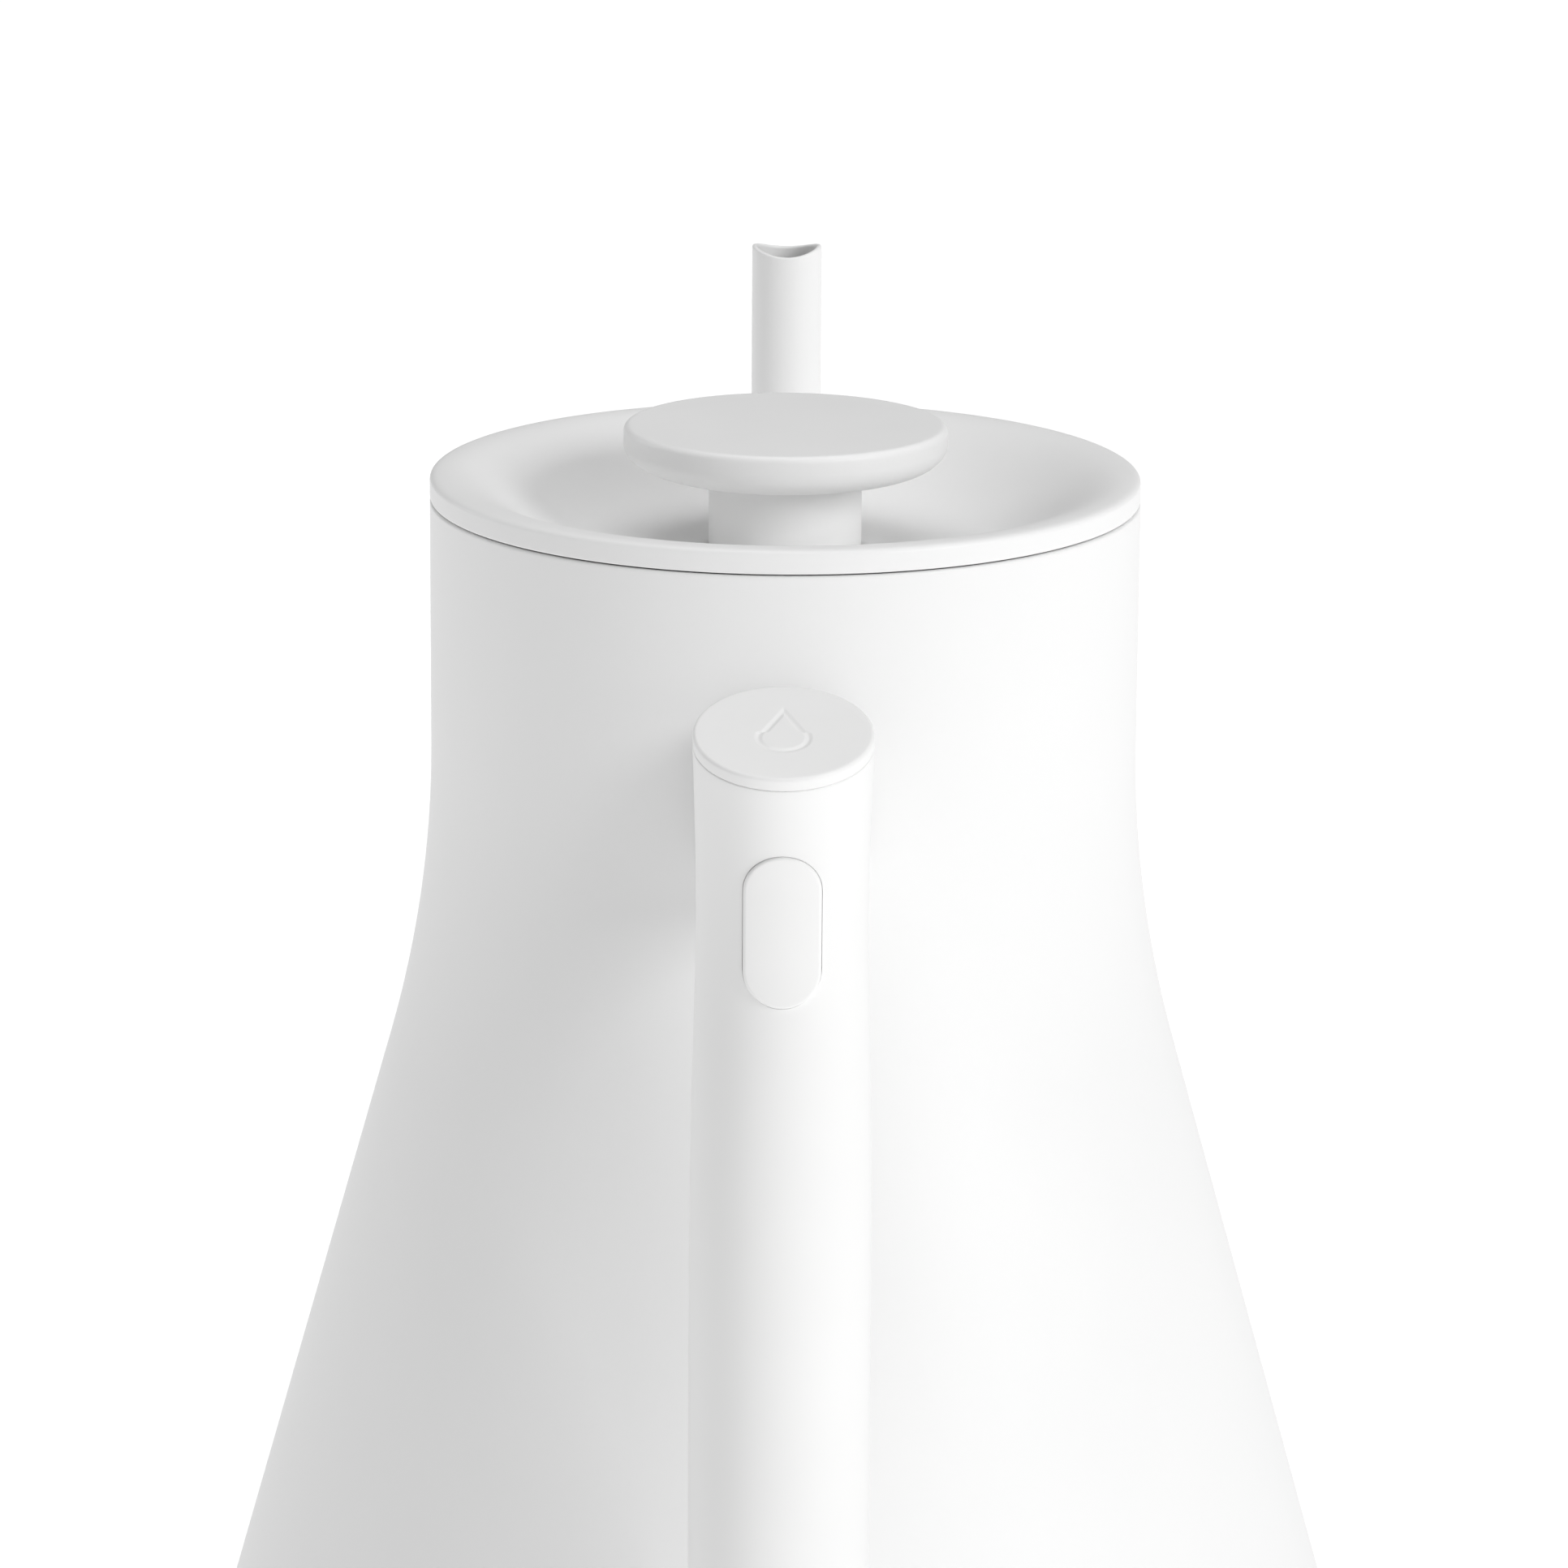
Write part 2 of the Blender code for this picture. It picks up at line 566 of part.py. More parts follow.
def latch_pin():
    """Pin that the catch's rocker turns on."""
    half = EAR_SPACING + EAR_SHEET + PIN_OVERHANG
    head = EAR_SPACING + EAR_SHEET + GAP
    profile = [
        (0, -half), (PIN_RADIUS, -half), (PIN_RADIUS, head),
        (PIN_RADIUS + 0.7, head), (PIN_RADIUS + 0.7, half), (0, half),
    ]
    add_piece("latch_pin", pivot_rings(profile), "spring_steel")


def latch_rocker(parent):
    """Bell crank: its nose meets the push rod and its head carries the magnet."""
    nose_y = -NECK_INSIDE + ROD_INSIDE + GAP + NOSE_RADIUS - PIVOT[1]
    nose_z = BUTTON_Z - PIVOT[2]
    nose = [
        (nose_y + NOSE_RADIUS * math.cos(a), nose_z + NOSE_RADIUS * math.sin(a))
        for a in np.radians((110, 145, 180, 215, 250, 290))
    ]
    outline = nose + [
        (0.6, -2.1), (2.1, -0.6), (1.7, 1.2), (1.7, ROCKER_HEAD - 2.2), (2.6, ROCKER_HEAD - 1.2),
        (2.6, ROCKER_HEAD), (-2.6, ROCKER_HEAD), (-2.6, ROCKER_HEAD - 1.2), (-1.7, ROCKER_HEAD - 2.2),
        (-1.7, 1.2), (-2.1, 0.2),
    ]
    half = ROCKER_WIDTH / 2
    rings = [[(x, PIVOT[1] + y, PIVOT[2] + z) for y, z in outline] for x in (-half, half)]
    rocker = add_piece("latch_rocker", rings, "brushed_steel", parent=parent)
    cut(rocker, pivot_tool("rocker_hole_tool", PIN_RADIUS + GAP))


def catch_magnet(parent):
    """Magnet on the rocker's head, just under the lid's keeper plate."""
    low = PIVOT[2] + ROCKER_HEAD + GAP
    profile = [(0, low), (MAGNET_RADIUS, low), (MAGNET_RADIUS, low + MAGNET_HEIGHT), (0, low + MAGNET_HEIGHT)]
    add_piece("catch_magnet", upright_rings(profile, SMALL_FACETS, PIVOT[:2]), "magnet", parent=parent)


def handle_centre(z):
    """Handle's centre line at height z as (y, lean): upright, then one arc that leans outwards."""
    rise = max(z - (BODY_HEIGHT - HANDLE_BEND_DROP), 0.0)
    turn = (HANDLE_BEND_DROP - HANDLE_TOP_DROP) / math.sin(math.radians(HANDLE_LEAN))
    lean = math.asin(min(rise / turn, 1.0))
    return HANDLE_Y - turn * (1 - math.cos(lean)), lean


def handle_radius(z):
    """Handle's radius at height z, with a shallow waist at the button."""
    return HANDLE_RADIUS - WAIST_DEPTH * math.exp(-(((z - BUTTON_Z) / WAIST_REACH) ** 2))


def handle_ring(z, radius, past=0.0, around=HANDLE_FACETS):
    """Ring square to the handle's centre line at height z, moved past along it."""
    y, lean = handle_centre(z)
    y -= past * math.sin(lean)
    z += past * math.cos(lean)
    unit = circle(radius, around)
    return [(u, y + v * math.cos(lean), z + v * math.sin(lean)) for u, v in unit]


def handle_grip():
    """Moulded tube of the handle, with the button's slot in front and the arm's socket behind."""
    top = BODY_HEIGHT - HANDLE_TOP_DROP
    bend = BODY_HEIGHT - HANDLE_BEND_DROP
    heights = list(np.linspace(top - HANDLE_LENGTH, bend, 4)) + list(np.linspace(bend, top, 7))[1:]
    outer = [handle_ring(z, handle_radius(z)) for z in heights]
    inner = [handle_ring(z, handle_radius(z) - HANDLE_WALL) for z in heights]
    grip = add_piece("handle_grip", outer + inner[::-1], "white_plastic", closed=True)
    slot = rounded_box(BUTTON_WIDTH + 2 * FIT, BUTTON_HEIGHT + 2 * FIT, BUTTON_WIDTH / 2 + FIT)
    front = prism_rings(slot, HANDLE_Y - 2 * HANDLE_RADIUS, HANDLE_Y, z=BUTTON_Z)
    cut(grip, add_piece("button_slot_tool", front))
    socket = rounded_box(ARM_WIDTH + 2 * GAP, ARM_HEIGHT + 2 * GAP, ARM_CORNER + GAP)
    back = prism_rings(socket, HANDLE_Y, HANDLE_Y + 2 * HANDLE_RADIUS, z=BUTTON_Z)
    cut(grip, add_piece("arm_socket_tool", back))


def handle_top_cap():
    """Disc on the handle's upper end, with a spigot inside the grip and an engraved drop."""
    top = BODY_HEIGHT - HANDLE_TOP_DROP
    radius = handle_radius(top)
    spigot = radius - HANDLE_WALL - GAP
    profile = [
        (0, -CAP_SPIGOT), (spigot, -CAP_SPIGOT), (spigot, GAP), (radius, GAP),
        (radius, CAP_THICKNESS - 0.4), (radius - 0.4, CAP_THICKNESS), (0, CAP_THICKNESS),
    ]
    rings = [handle_ring(top, r, past) for r, past in profile]
    add_piece("handle_top_cap", rings, "white_plastic")


def handle_end_plug():
    """Plug in the grip's lower end, with a recess for the tie screw."""
    low = BODY_HEIGHT - HANDLE_TOP_DROP - HANDLE_LENGTH
    radius = handle_radius(low)
    spigot = radius - HANDLE_WALL - GAP
    profile = [
        (0, low - PLUG_THICKNESS), (radius - 1.2, low - PLUG_THICKNESS), (radius, low - PLUG_THICKNESS + 1.2),
        (radius, low - GAP), (spigot, low - GAP), (spigot, low + PLUG_SPIGOT), (0, low + PLUG_SPIGOT),
    ]
    plug = add_piece("handle_end_plug", upright_rings(profile, HANDLE_FACETS, (0, HANDLE_Y)), "white_plastic")
    place = (0.0, HANDLE_Y + TIE_ROD_INSET)
    bore = TIE_SCREW_RADIUS + GAP
    head = TIE_SCREW_HEAD + GAP
    bottom = low - PLUG_THICKNESS
    hole = [
        (head, bottom - 1), (head, bottom + TIE_HEAD_RECESS), (bore, bottom + TIE_HEAD_RECESS),
        (bore, low + TIE_ROD_SEAT), (TIE_ROD_RADIUS + GAP, low + TIE_ROD_SEAT),
        (TIE_ROD_RADIUS + GAP, low + PLUG_SPIGOT + 1),
    ]
    cut(plug, add_piece("plug_hole_tool", upright_rings(hole, HOLE_FACETS, place)))


def tie_rod_and_screw():
    """Steel rod that pulls the plug towards the arm, and the screw that tightens it."""
    place = (0.0, HANDLE_Y + TIE_ROD_INSET)
    low = BODY_HEIGHT - HANDLE_TOP_DROP - HANDLE_LENGTH
    foot = low + TIE_ROD_SEAT + GAP
    top = BUTTON_Z - ARM_HEIGHT / 2 + TIE_ROD_SOCKET - GAP
    thread = TIE_SCREW_RADIUS + GAP
    rod = [
        (0, foot + TIE_SCREW_BITE + 1), (thread, foot + TIE_SCREW_BITE + 1), (thread, foot),
        (TIE_ROD_RADIUS, foot), (TIE_ROD_RADIUS, top), (0, top),
    ]
    add_piece("handle_tie_rod", upright_rings(rod, HOLE_FACETS, place), "brushed_steel")
    head = low - PLUG_THICKNESS + TIE_HEAD_RECESS - GAP
    under = head - TIE_HEAD_HEIGHT
    screw = [
        (0, under), (TIE_SCREW_HEAD - 0.4, under), (TIE_SCREW_HEAD, under + 0.4), (TIE_SCREW_HEAD, head),
        (TIE_SCREW_RADIUS, head), (TIE_SCREW_RADIUS, foot + TIE_SCREW_BITE), (0, foot + TIE_SCREW_BITE),
    ]
    add_piece("handle_tie_screw", upright_rings(screw, HOLE_FACETS, place), "brushed_steel")


def button_face(z):
    """Y of the button's face at height z: it follows the grip and stands a little proud."""
    y, lean = handle_centre(z)
    return y - handle_radius(z) / math.cos(lean) - BUTTON_PROUD


def thumb_button(parent):
    """Oblong lid-release button with a keeping lip and a socket for the push rod."""
    face = rounded_box(BUTTON_WIDTH, BUTTON_HEIGHT, BUTTON_WIDTH / 2)
    lip_width = BUTTON_WIDTH + 2 * BUTTON_LIP
    lip = rounded_box(lip_width, BUTTON_HEIGHT + 2 * BUTTON_LIP, lip_width / 2)
    back = HANDLE_Y - LIP_OFFSET
    rings = prism_rings(lip, back, back - LIP_DEPTH, z=BUTTON_Z)
    rings.append([(x, back - LIP_DEPTH, BUTTON_Z + z) for x, z in face])
    for shrink, inset in ((1.0, 0.5), (0.92, 0.0)):
        front = [(x * shrink, button_face(BUTTON_Z + z) + inset, BUTTON_Z + z * shrink) for x, z in face]
        rings.append(front)
    button = add_piece("thumb_button", rings, "white_plastic", parent=parent)
    socket = back - ROD_IN_BUTTON - GAP
    cut(button, drill("button_socket_tool", ROD_RADIUS + GAP, socket, back + 3, z=BUTTON_Z))


def push_rod(parent):
    """Rod from the button, through the arm and the neck wall, to the catch."""
    start = HANDLE_Y - LIP_OFFSET - ROD_IN_BUTTON
    end = -NECK_INSIDE + ROD_INSIDE
    profile = [(0, start), (ROD_RADIUS, start), (ROD_RADIUS, end - 0.5), (ROD_RADIUS - 0.5, end), (0, end)]
    add_piece("push_rod", level_rings(profile, HOLE_FACETS, 0.0, BUTTON_Z), "spring_steel", parent=parent)


def button_spring(parent):
    """Coil spring between the button's lip and the pocket in the arm's end."""
    start = HANDLE_Y - LIP_OFFSET + GAP + SPRING_WIRE
    end = HANDLE_Y - ARM_PAST_AXIS + SPRING_POCKET - GAP - SPRING_WIRE
    along = np.array([0.0, 1.0, 0.0])
    steps = SPRING_TURNS * 9
    rings = []
    for step in range(steps + 1):
        angle = 2 * math.pi * SPRING_TURNS * step / steps
        out = np.array([math.cos(angle), 0.0, math.sin(angle)])
        middle = SPRING_RADIUS * out + along * (start + (end - start) * step / steps)
        middle[2] += BUTTON_Z
        rings.append([middle + SPRING_WIRE * (u * out + v * along) for u, v in circle(1.0, 5)])
    add_piece("button_spring", rings, "spring_steel", parent=parent)


def dish(depth, mouth, rise, steps=8):
    """Smooth bowl from its flat floor out and up to its mouth, as (radius, height)."""
    points = []
    for step in range(steps + 1):
        share = step / steps
        climb = math.sin(math.pi / 2 * share**1.5) ** 2
        radius = DISH_FLOOR_RADIUS + (mouth - DISH_FLOOR_RADIUS) * share
        points.append((radius, -depth + (depth + rise) * climb))
    return points


def lid_plate(parent):
    """Pressed lid: rounded rim, bowl-shaped middle and a hole for the knob's stem."""
    hole = SPIGOT_RADIUS + GAP
    crest = NECK_RADIUS - RIM_CREST
    top = [(hole, -DISH_DEPTH)] + dish(DISH_DEPTH, crest, RIM_RISE)
    for angle in (50, 25, 0):
        turn = math.radians(angle)
        top.append((crest + RIM_CREST * math.cos(turn), RIM_SIDE + (RIM_RISE - RIM_SIDE) * math.sin(turn)))
    top.append((NECK_RADIUS, 0.0))
    under = dish(DISH_DEPTH + LID_SHEET, NECK_RADIUS - DISH_ENTRY, 0.0)[::-1]
    profile = [(r, BODY_HEIGHT + z) for r, z in top + under + [(hole, -DISH_DEPTH - LID_SHEET)]]
    add_piece("lid_plate", upright_rings(profile, BODY_FACETS), "white_enamel", closed=True, parent=parent)


def lid_skirt(parent):
    """Steel ring under the lid's rim that centres it in the neck."""
    outside = NECK_RADIUS - SKIRT_INSET
    inside = outside - SKIRT_THICKNESS
    low = -SKIRT_DEPTH
    profile = [
        (outside, -GAP), (outside, low), (outside - SKIRT_FLANGE, low),
        (outside - SKIRT_FLANGE, low + SKIRT_THICKNESS), (inside, low + SKIRT_THICKNESS), (inside, -GAP),
    ]
    rings = upright_rings([(r, BODY_HEIGHT + z) for r, z in profile], RING_FACETS)
    add_piece("lid_skirt", rings, "brushed_steel", closed=True, parent=parent)


def lid_gasket(parent):
    """Silicone ring round the skirt, with two lips towards the neck."""
    inside = NECK_RADIUS - SKIRT_INSET + GAP
    lip = NECK_INSIDE - GAP
    root = inside + 0.5
    low = GASKET_TOP + GASKET_HEIGHT
    heights = (GASKET_TOP, GASKET_TOP + 1.5, GASKET_TOP + 2.5, low - 2.5, low - 1.5, low)
    radii = (root, lip, root, root, lip, root)
    profile = [(inside, -GASKET_TOP)] + [(r, -z) for r, z in zip(radii, heights)] + [(inside, -low)]
    rings = upright_rings([(r, BODY_HEIGHT + z) for r, z in profile], RING_FACETS)
    add_piece("lid_gasket", rings, "grey_silicone", closed=True, parent=parent)


def keeper_plate(parent):
    """Small steel plate under the skirt's flange, which the magnet holds."""
    top = BODY_HEIGHT - SKIRT_DEPTH - GAP
    outer_y = -(NECK_RADIUS - SKIRT_INSET - 0.5)
    half = KEEPER_WIDTH / 2
    inner_y = outer_y + KEEPER_LENGTH
    outline = [
        (-half, outer_y + 0.5), (half, outer_y + 0.5), (half, inner_y - 1),
        (half - 1, inner_y), (1 - half, inner_y), (-half, inner_y - 1),
    ]
    rings = [[(x, y, z) for x, y in outline] for z in (top - KEEPER_THICKNESS, top)]
    add_piece("keeper_plate", rings, "brushed_steel", parent=parent)


def knob_cap(parent):
    """Broad round head of the knob, with a boss that screws into the stem."""
    top = BODY_HEIGHT + KNOB_TOP
    low = top - KNOB_THICKNESS
    boss = STEM_BORE - GAP
    soft = 0.3 * KNOB_UNDER_EDGE
    profile = [
        (0, low - BOSS_LENGTH), (boss, low - BOSS_LENGTH), (boss, low), (KNOB_RADIUS - KNOB_UNDER_EDGE, low),
        (KNOB_RADIUS - soft, low + soft), (KNOB_RADIUS, low + KNOB_UNDER_EDGE),
        (KNOB_RADIUS, top - KNOB_EDGE), (KNOB_RADIUS - 0.3 * KNOB_EDGE, top - 0.3 * KNOB_EDGE),
        (KNOB_RADIUS - KNOB_EDGE, top), (0, top),
    ]
    add_piece("knob_cap", upright_rings(profile, RING_FACETS), "white_enamel", parent=parent)


def knob_stem(parent):
    """Hollow stem: steam passes up through it and leaves by ports on the spout's side."""
    seat = BODY_HEIGHT - DISH_DEPTH + GAP
    foot = seat - SPIGOT_LENGTH
    top = BODY_HEIGHT + KNOB_TOP - KNOB_THICKNESS - GAP
    lip = foot + LIP_THICKNESS
    profile = [
        (STEM_BORE - SPIGOT_LIP, foot), (SPIGOT_RADIUS, foot), (SPIGOT_RADIUS, seat), (STEM_RADIUS, seat),
        (STEM_RADIUS, top), (STEM_BORE, top), (STEM_BORE, lip), (STEM_BORE - SPIGOT_LIP, lip),
    ]
    rings = upright_rings(profile, HANDLE_FACETS)
    stem = add_piece("knob_stem", rings, "white_enamel", closed=True, parent=parent)
    for number, degrees in enumerate(PORT_ANGLES):
        out = np.array([math.cos(math.radians(degrees)), math.sin(math.radians(degrees)), 0.0])
        side = np.array([-out[1], out[0], 0.0])
        up = np.array([0.0, 0.0, 1.0])
        middle = np.array([0.0, 0.0, BODY_HEIGHT - PORT_DROP])
        rings = [
            [middle + out * reach + PORT_RADIUS * (side * u + up * v) for u, v in circle(1.0, HOLE_FACETS)]
            for reach in (STEM_BORE - 3, STEM_RADIUS + 3)
        ]
        cut(stem, add_piece(f"port_{number}_tool", rings))


def stem_fixing(parent):
    """Washer and hexagon nut that clamp the stem under the lid."""
    hole = SPIGOT_RADIUS + GAP
    top = BODY_HEIGHT - DISH_DEPTH - LID_SHEET - GAP
    low = top - WASHER_THICKNESS
    washer = [(hole, low), (WASHER_RADIUS, low), (WASHER_RADIUS, top), (hole, top)]
    rings = upright_rings(washer, HANDLE_FACETS)
    add_piece("stem_washer", rings, "grey_silicone", closed=True, parent=parent)
    nut_top = low - GAP
    corner = NUT_ACROSS_FLATS / 2 / math.cos(math.pi / 6)
    sides = upright_rings([(corner, nut_top - NUT_THICKNESS), (corner, nut_top)], 6)
    nut = add_piece("stem_nut", sides, "brushed_steel", parent=parent)
    bore = upright_rings([(hole, nut_top - NUT_THICKNESS - 2), (hole, nut_top + 2)], HANDLE_FACETS)
    cut(nut, add_piece("nut_bore_tool", bore))


def whistle(parent):
    """Hole-tone whistle in the stem: a cup and a disc, each with a small hole in line."""
    lip = BODY_HEIGHT - DISH_DEPTH + GAP - SPIGOT_LENGTH + LIP_THICKNESS
    radius = STEM_BORE - GAP
    low = lip + GAP
    top = low + CUP_HEIGHT
    cup = [
        (WHISTLE_HOLE, low), (radius, low), (radius, top), (radius - CUP_SHEET, top),
        (radius - CUP_SHEET, low + CUP_SHEET), (WHISTLE_HOLE, low + CUP_SHEET),
    ]
    add_piece("whistle_cup", upright_rings(cup, HANDLE_FACETS), "brushed_steel", closed=True, parent=parent)
    low = top + GAP
    disc = [(WHISTLE_HOLE, low), (radius, low), (radius, low + CUP_SHEET), (WHISTLE_HOLE, low + CUP_SHEET)]
    add_piece("whistle_disc", upright_rings(disc, HANDLE_FACETS), "brushed_steel", closed=True, parent=parent)


def main():
    """Build every piece."""
    clear_scene()
    body_shell()
    body_floor()
    base_plate()
    spout_tube()
    spout_collar()
    bridge_arm()
    arm_gasket()
    arm_screws()
    rod_seal()
    latch_bracket()
    latch_pin()
    handle_grip()
    handle_top_cap()
    handle_end_plug()
    tie_rod_and_screw()
    lid = joint_empty("lid_joint", LID_AXIS)
    for make in (lid_plate, lid_skirt, lid_gasket, keeper_plate, knob_cap, knob_stem, stem_fixing, whistle):
        make(lid)
    button = joint_empty("button_joint", ROD_AXIS)
    for make in (thumb_button, push_rod, button_spring):
        make(button)
    catch = joint_empty("catch_joint", PIVOT)
    latch_rocker(catch)
    catch_magnet(catch)


main()
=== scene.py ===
"""Looks of a stovetop kettle around its CAD frame. Sizes are in millimetres until a mesh is made."""

import bpy
import numpy as np
from mathutils import Matrix, Vector

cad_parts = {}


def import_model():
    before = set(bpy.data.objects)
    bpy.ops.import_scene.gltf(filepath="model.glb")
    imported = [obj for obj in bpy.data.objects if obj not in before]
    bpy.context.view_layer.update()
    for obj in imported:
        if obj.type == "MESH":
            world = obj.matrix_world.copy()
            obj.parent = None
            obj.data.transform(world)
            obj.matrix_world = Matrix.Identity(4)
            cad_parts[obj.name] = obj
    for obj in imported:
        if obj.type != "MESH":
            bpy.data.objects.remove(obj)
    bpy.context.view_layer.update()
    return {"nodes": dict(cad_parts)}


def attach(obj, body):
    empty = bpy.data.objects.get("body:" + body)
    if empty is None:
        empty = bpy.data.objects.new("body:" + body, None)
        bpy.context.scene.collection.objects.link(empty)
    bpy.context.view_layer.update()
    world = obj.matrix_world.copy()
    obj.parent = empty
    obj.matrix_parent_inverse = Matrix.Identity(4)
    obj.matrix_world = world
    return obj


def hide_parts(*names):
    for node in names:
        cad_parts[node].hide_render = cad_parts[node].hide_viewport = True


MM = 0.001
ROUND = 224                      # points round the body
BODY_HEIGHT = 186.0
NECK_RADIUS = 52.0
NECK_LENGTH = 36.8
FLARE_LENGTH = 45.8
CONE_SLOPE = 0.282
WALL = 1.0
SEAM = 0.35
HANDLE_RADIUS = 12.3
HANDLE_WALL = 2.2
WAIST_DEPTH = 0.8
WAIST_REACH = 26.0
HANDLE_Y = -110.0
HANDLE_TOP = BODY_HEIGHT - 8.0
HANDLE_LOW = HANDLE_TOP - 138.0
HANDLE_BEND = BODY_HEIGHT - 50.0
HANDLE_TURN = 42.0 / np.sin(np.radians(17.0))
BUTTON_Z = BODY_HEIGHT - 31.8
BUTTON_WIDTH = 10.4
BUTTON_HEIGHT = 21.6
BEAM_WIDTH = 15.0                # arm between the handle and its flare
BEAM_HEIGHT = 20.0
BEAM_CORNER = 7.0
FLANGE_WIDTH = 22.0              # arm's saddle on the neck
FLANGE_HEIGHT = 26.0
FLANGE_CORNER = 8.0
FLANGE_EDGE = 5.2                # arm's full width starts this far from the saddle
FLARE_START = 71.0
PAD_THICKNESS = 1.2
PAD_GAP = 0.3
ROOT_HEIGHT = 35.0
STANDOFF = 37.2
STUB = 4.0
TIP_RISE = 16.2
SADDLE = 1.15
SPOUT_ROOT_RADIUS = 9.0
SPOUT_TIP_RADIUS = 5.6
SPOUT_WALL = 0.8
KNOB_RADIUS = 23.7
KNOB_TOP = 10.7
KNOB_LOW = KNOB_TOP - 6.6
STEM_RADIUS = 11.2
STEM_BORE = 8.2
DISH_DEPTH = 7.5
DISH_FLOOR = 16.0
STEM_SEAT = -DISH_DEPTH + 0.3    # stem's places below the seam between lid and body
STEM_FOOT = STEM_SEAT - 7.3
STEM_LEDGE = STEM_FOOT + 5.0


# ---------- materials ----------

class Wave:
    """A shader value. Its operators add Math nodes, or Vector Math nodes for three-part values."""

    def __init__(self, tree, socket):
        self.tree = tree
        self.socket = socket

    def node(self, kind, output=0, settings=None, **inputs):
        """Adds any other node: settings are its properties, inputs its sockets by name."""
        made = self.tree.nodes.new(kind)
        for key, value in (settings or {}).items():
            setattr(made, key, value)
        for key, value in inputs.items():
            wanted = key.replace("_", " ")
            target = made.inputs[int(key[1:])] if key[1:].isdigit() else made.inputs[wanted]
            if isinstance(value, Wave):
                self.tree.links.new(value.socket, target)
            else:
                target.default_value = value
        return Wave(self.tree, made.outputs[output])

    def math(self, operation, *others):
        pairs = {f"i{place}": value for place, value in enumerate((self, *others))}
        return self.node("ShaderNodeMath", settings={"operation": operation}, **pairs)

    def __add__(self, other):
        return self.math("ADD", other)

    def __mul__(self, other):
        return self.math("MULTIPLY", other)

    def noise(self, scale, detail=2.0, rough=0.5):
        """Fractal noise at this position, about 0 to 1."""
        return self.node("ShaderNodeTexNoise", Vector=self, Scale=scale, Detail=detail, Roughness=rough)

    def spread(self, low, high, bottom=0.0, top=1.0):
        """Straight line from (low, bottom) to (high, top), held at both ends."""
        return self.node("ShaderNodeMapRange", i0=self, i1=low, i2=high, i3=bottom, i4=top)

    def tint(self, dark, light):
        """Colour between two as this value goes from 0 to 1."""
        settings = {"data_type": "RGBA"}
        return self.node("ShaderNodeMix", output=2, settings=settings, i0=self, i6=(*dark, 1), i7=(*light, 1))


def material(name, constants):
    """Material with one Principled BSDF; returns it, its shader node and the object position."""
    made = bpy.data.materials.new(name)
    made.use_nodes = True
    tree = made.node_tree
    shader = next(node for node in tree.nodes if node.type == "BSDF_PRINCIPLED")
    for key, value in constants.items():
        shader.inputs[key].default_value = value
    place = tree.nodes.new("ShaderNodeTexCoord")
    return made, shader, Wave(tree, place.outputs["Object"])


def feed(shader, **waves):
    """Links waves to the shader's sockets, named with _ for a space."""
    for key, wave in waves.items():
        wave.tree.links.new(wave.socket, shader.inputs[key.replace("_", " ")])


def bumped(height, strength, distance):
    """Normal from a height, with the distance in metres."""
    return height.node("ShaderNodeBump", Height=height, Strength=strength, Distance=distance)


def powder_coat():
    """Matt white coat: fine orange peel, a finer grain and slight clouding of tone and gloss."""
    made, shader, here = material("white powder coat", {"Specular IOR Level": 0.42})
    peel = here.noise(1400.0, 2.0, 0.45)
    grain = here.noise(5200.0, 1.0, 0.5)
    cloud = here.noise(26.0, 3.0, 0.55).spread(0.3, 0.7)
    tone = (cloud * 0.7 + peel * 0.3)
    feed(
        shader,
        Base_Color=tone.tint((0.885, 0.886, 0.885), (0.905, 0.905, 0.903)),
        Roughness=(cloud * 0.06 + grain * 0.05 + 0.4),
        Normal=bumped(peel * 0.8 + grain * 0.2, 0.22, 0.00004),
    )
    return made


def moulded_plastic():
    """Matt white plastic: fine spark-eroded grain and faint handling polish."""
    made, shader, here = material("white moulded plastic", {"Specular IOR Level": 0.4})
    grain = here.noise(4200.0, 2.0, 0.6)
    cloud = here.noise(38.0, 3.0, 0.55).spread(0.3, 0.7)
    feed(
        shader,
        Base_Color=cloud.tint((0.875, 0.875, 0.872), (0.895, 0.895, 0.892)),
        Roughness=(cloud * 0.08 + grain * 0.05 + 0.38),
        Normal=bumped(grain, 0.16, 0.00003),
    )
    return made


def turned_steel():
    """Spun stainless steel: fine rings about the upright axis, faint clouds and scratches."""
    made, shader, here = material("turned steel", {"Metallic": 1.0, "Anisotropic": 0.45})
    flat = here.node("ShaderNodeVectorMath", settings={"operation": "MULTIPLY"}, i0=here, i1=(1, 1, 0))
    settings = {"operation": "LENGTH"}
    radius = flat.node("ShaderNodeVectorMath", output=1, settings=settings, i0=flat)
    height = here.node("ShaderNodeSeparateXYZ", output=2, Vector=here)
    both = radius.node("ShaderNodeCombineXYZ", X=radius, Y=height)
    rings = both.noise(5200.0, 3.0, 0.7)
    cloud = here.noise(45.0, 3.0, 0.6)
    feed(
        shader,
        Base_Color=cloud.tint((0.5, 0.5, 0.495), (0.66, 0.655, 0.645)),
        Roughness=(rings * 0.22 + 0.22),
        Normal=bumped(rings, 0.3, 0.00003),
    )
    return made


def drawn_steel():
    """Bright drawn wire and pins with fine lengthwise marks."""
    made, shader, here = material("drawn steel", {"Metallic": 1.0})
    settings = {"operation": "MULTIPLY"}
    along = here.node("ShaderNodeVectorMath", settings=settings, i0=here, i1=(1, 0.06, 1))
    marks = along.noise(6000.0, 3.0, 0.6)
    feed(
        shader,
        Base_Color=marks.tint((0.42, 0.42, 0.43), (0.6, 0.6, 0.6)),
        Roughness=(marks * 0.2 + 0.18),
        Normal=bumped(marks, 0.25, 0.00002),
    )
    return made


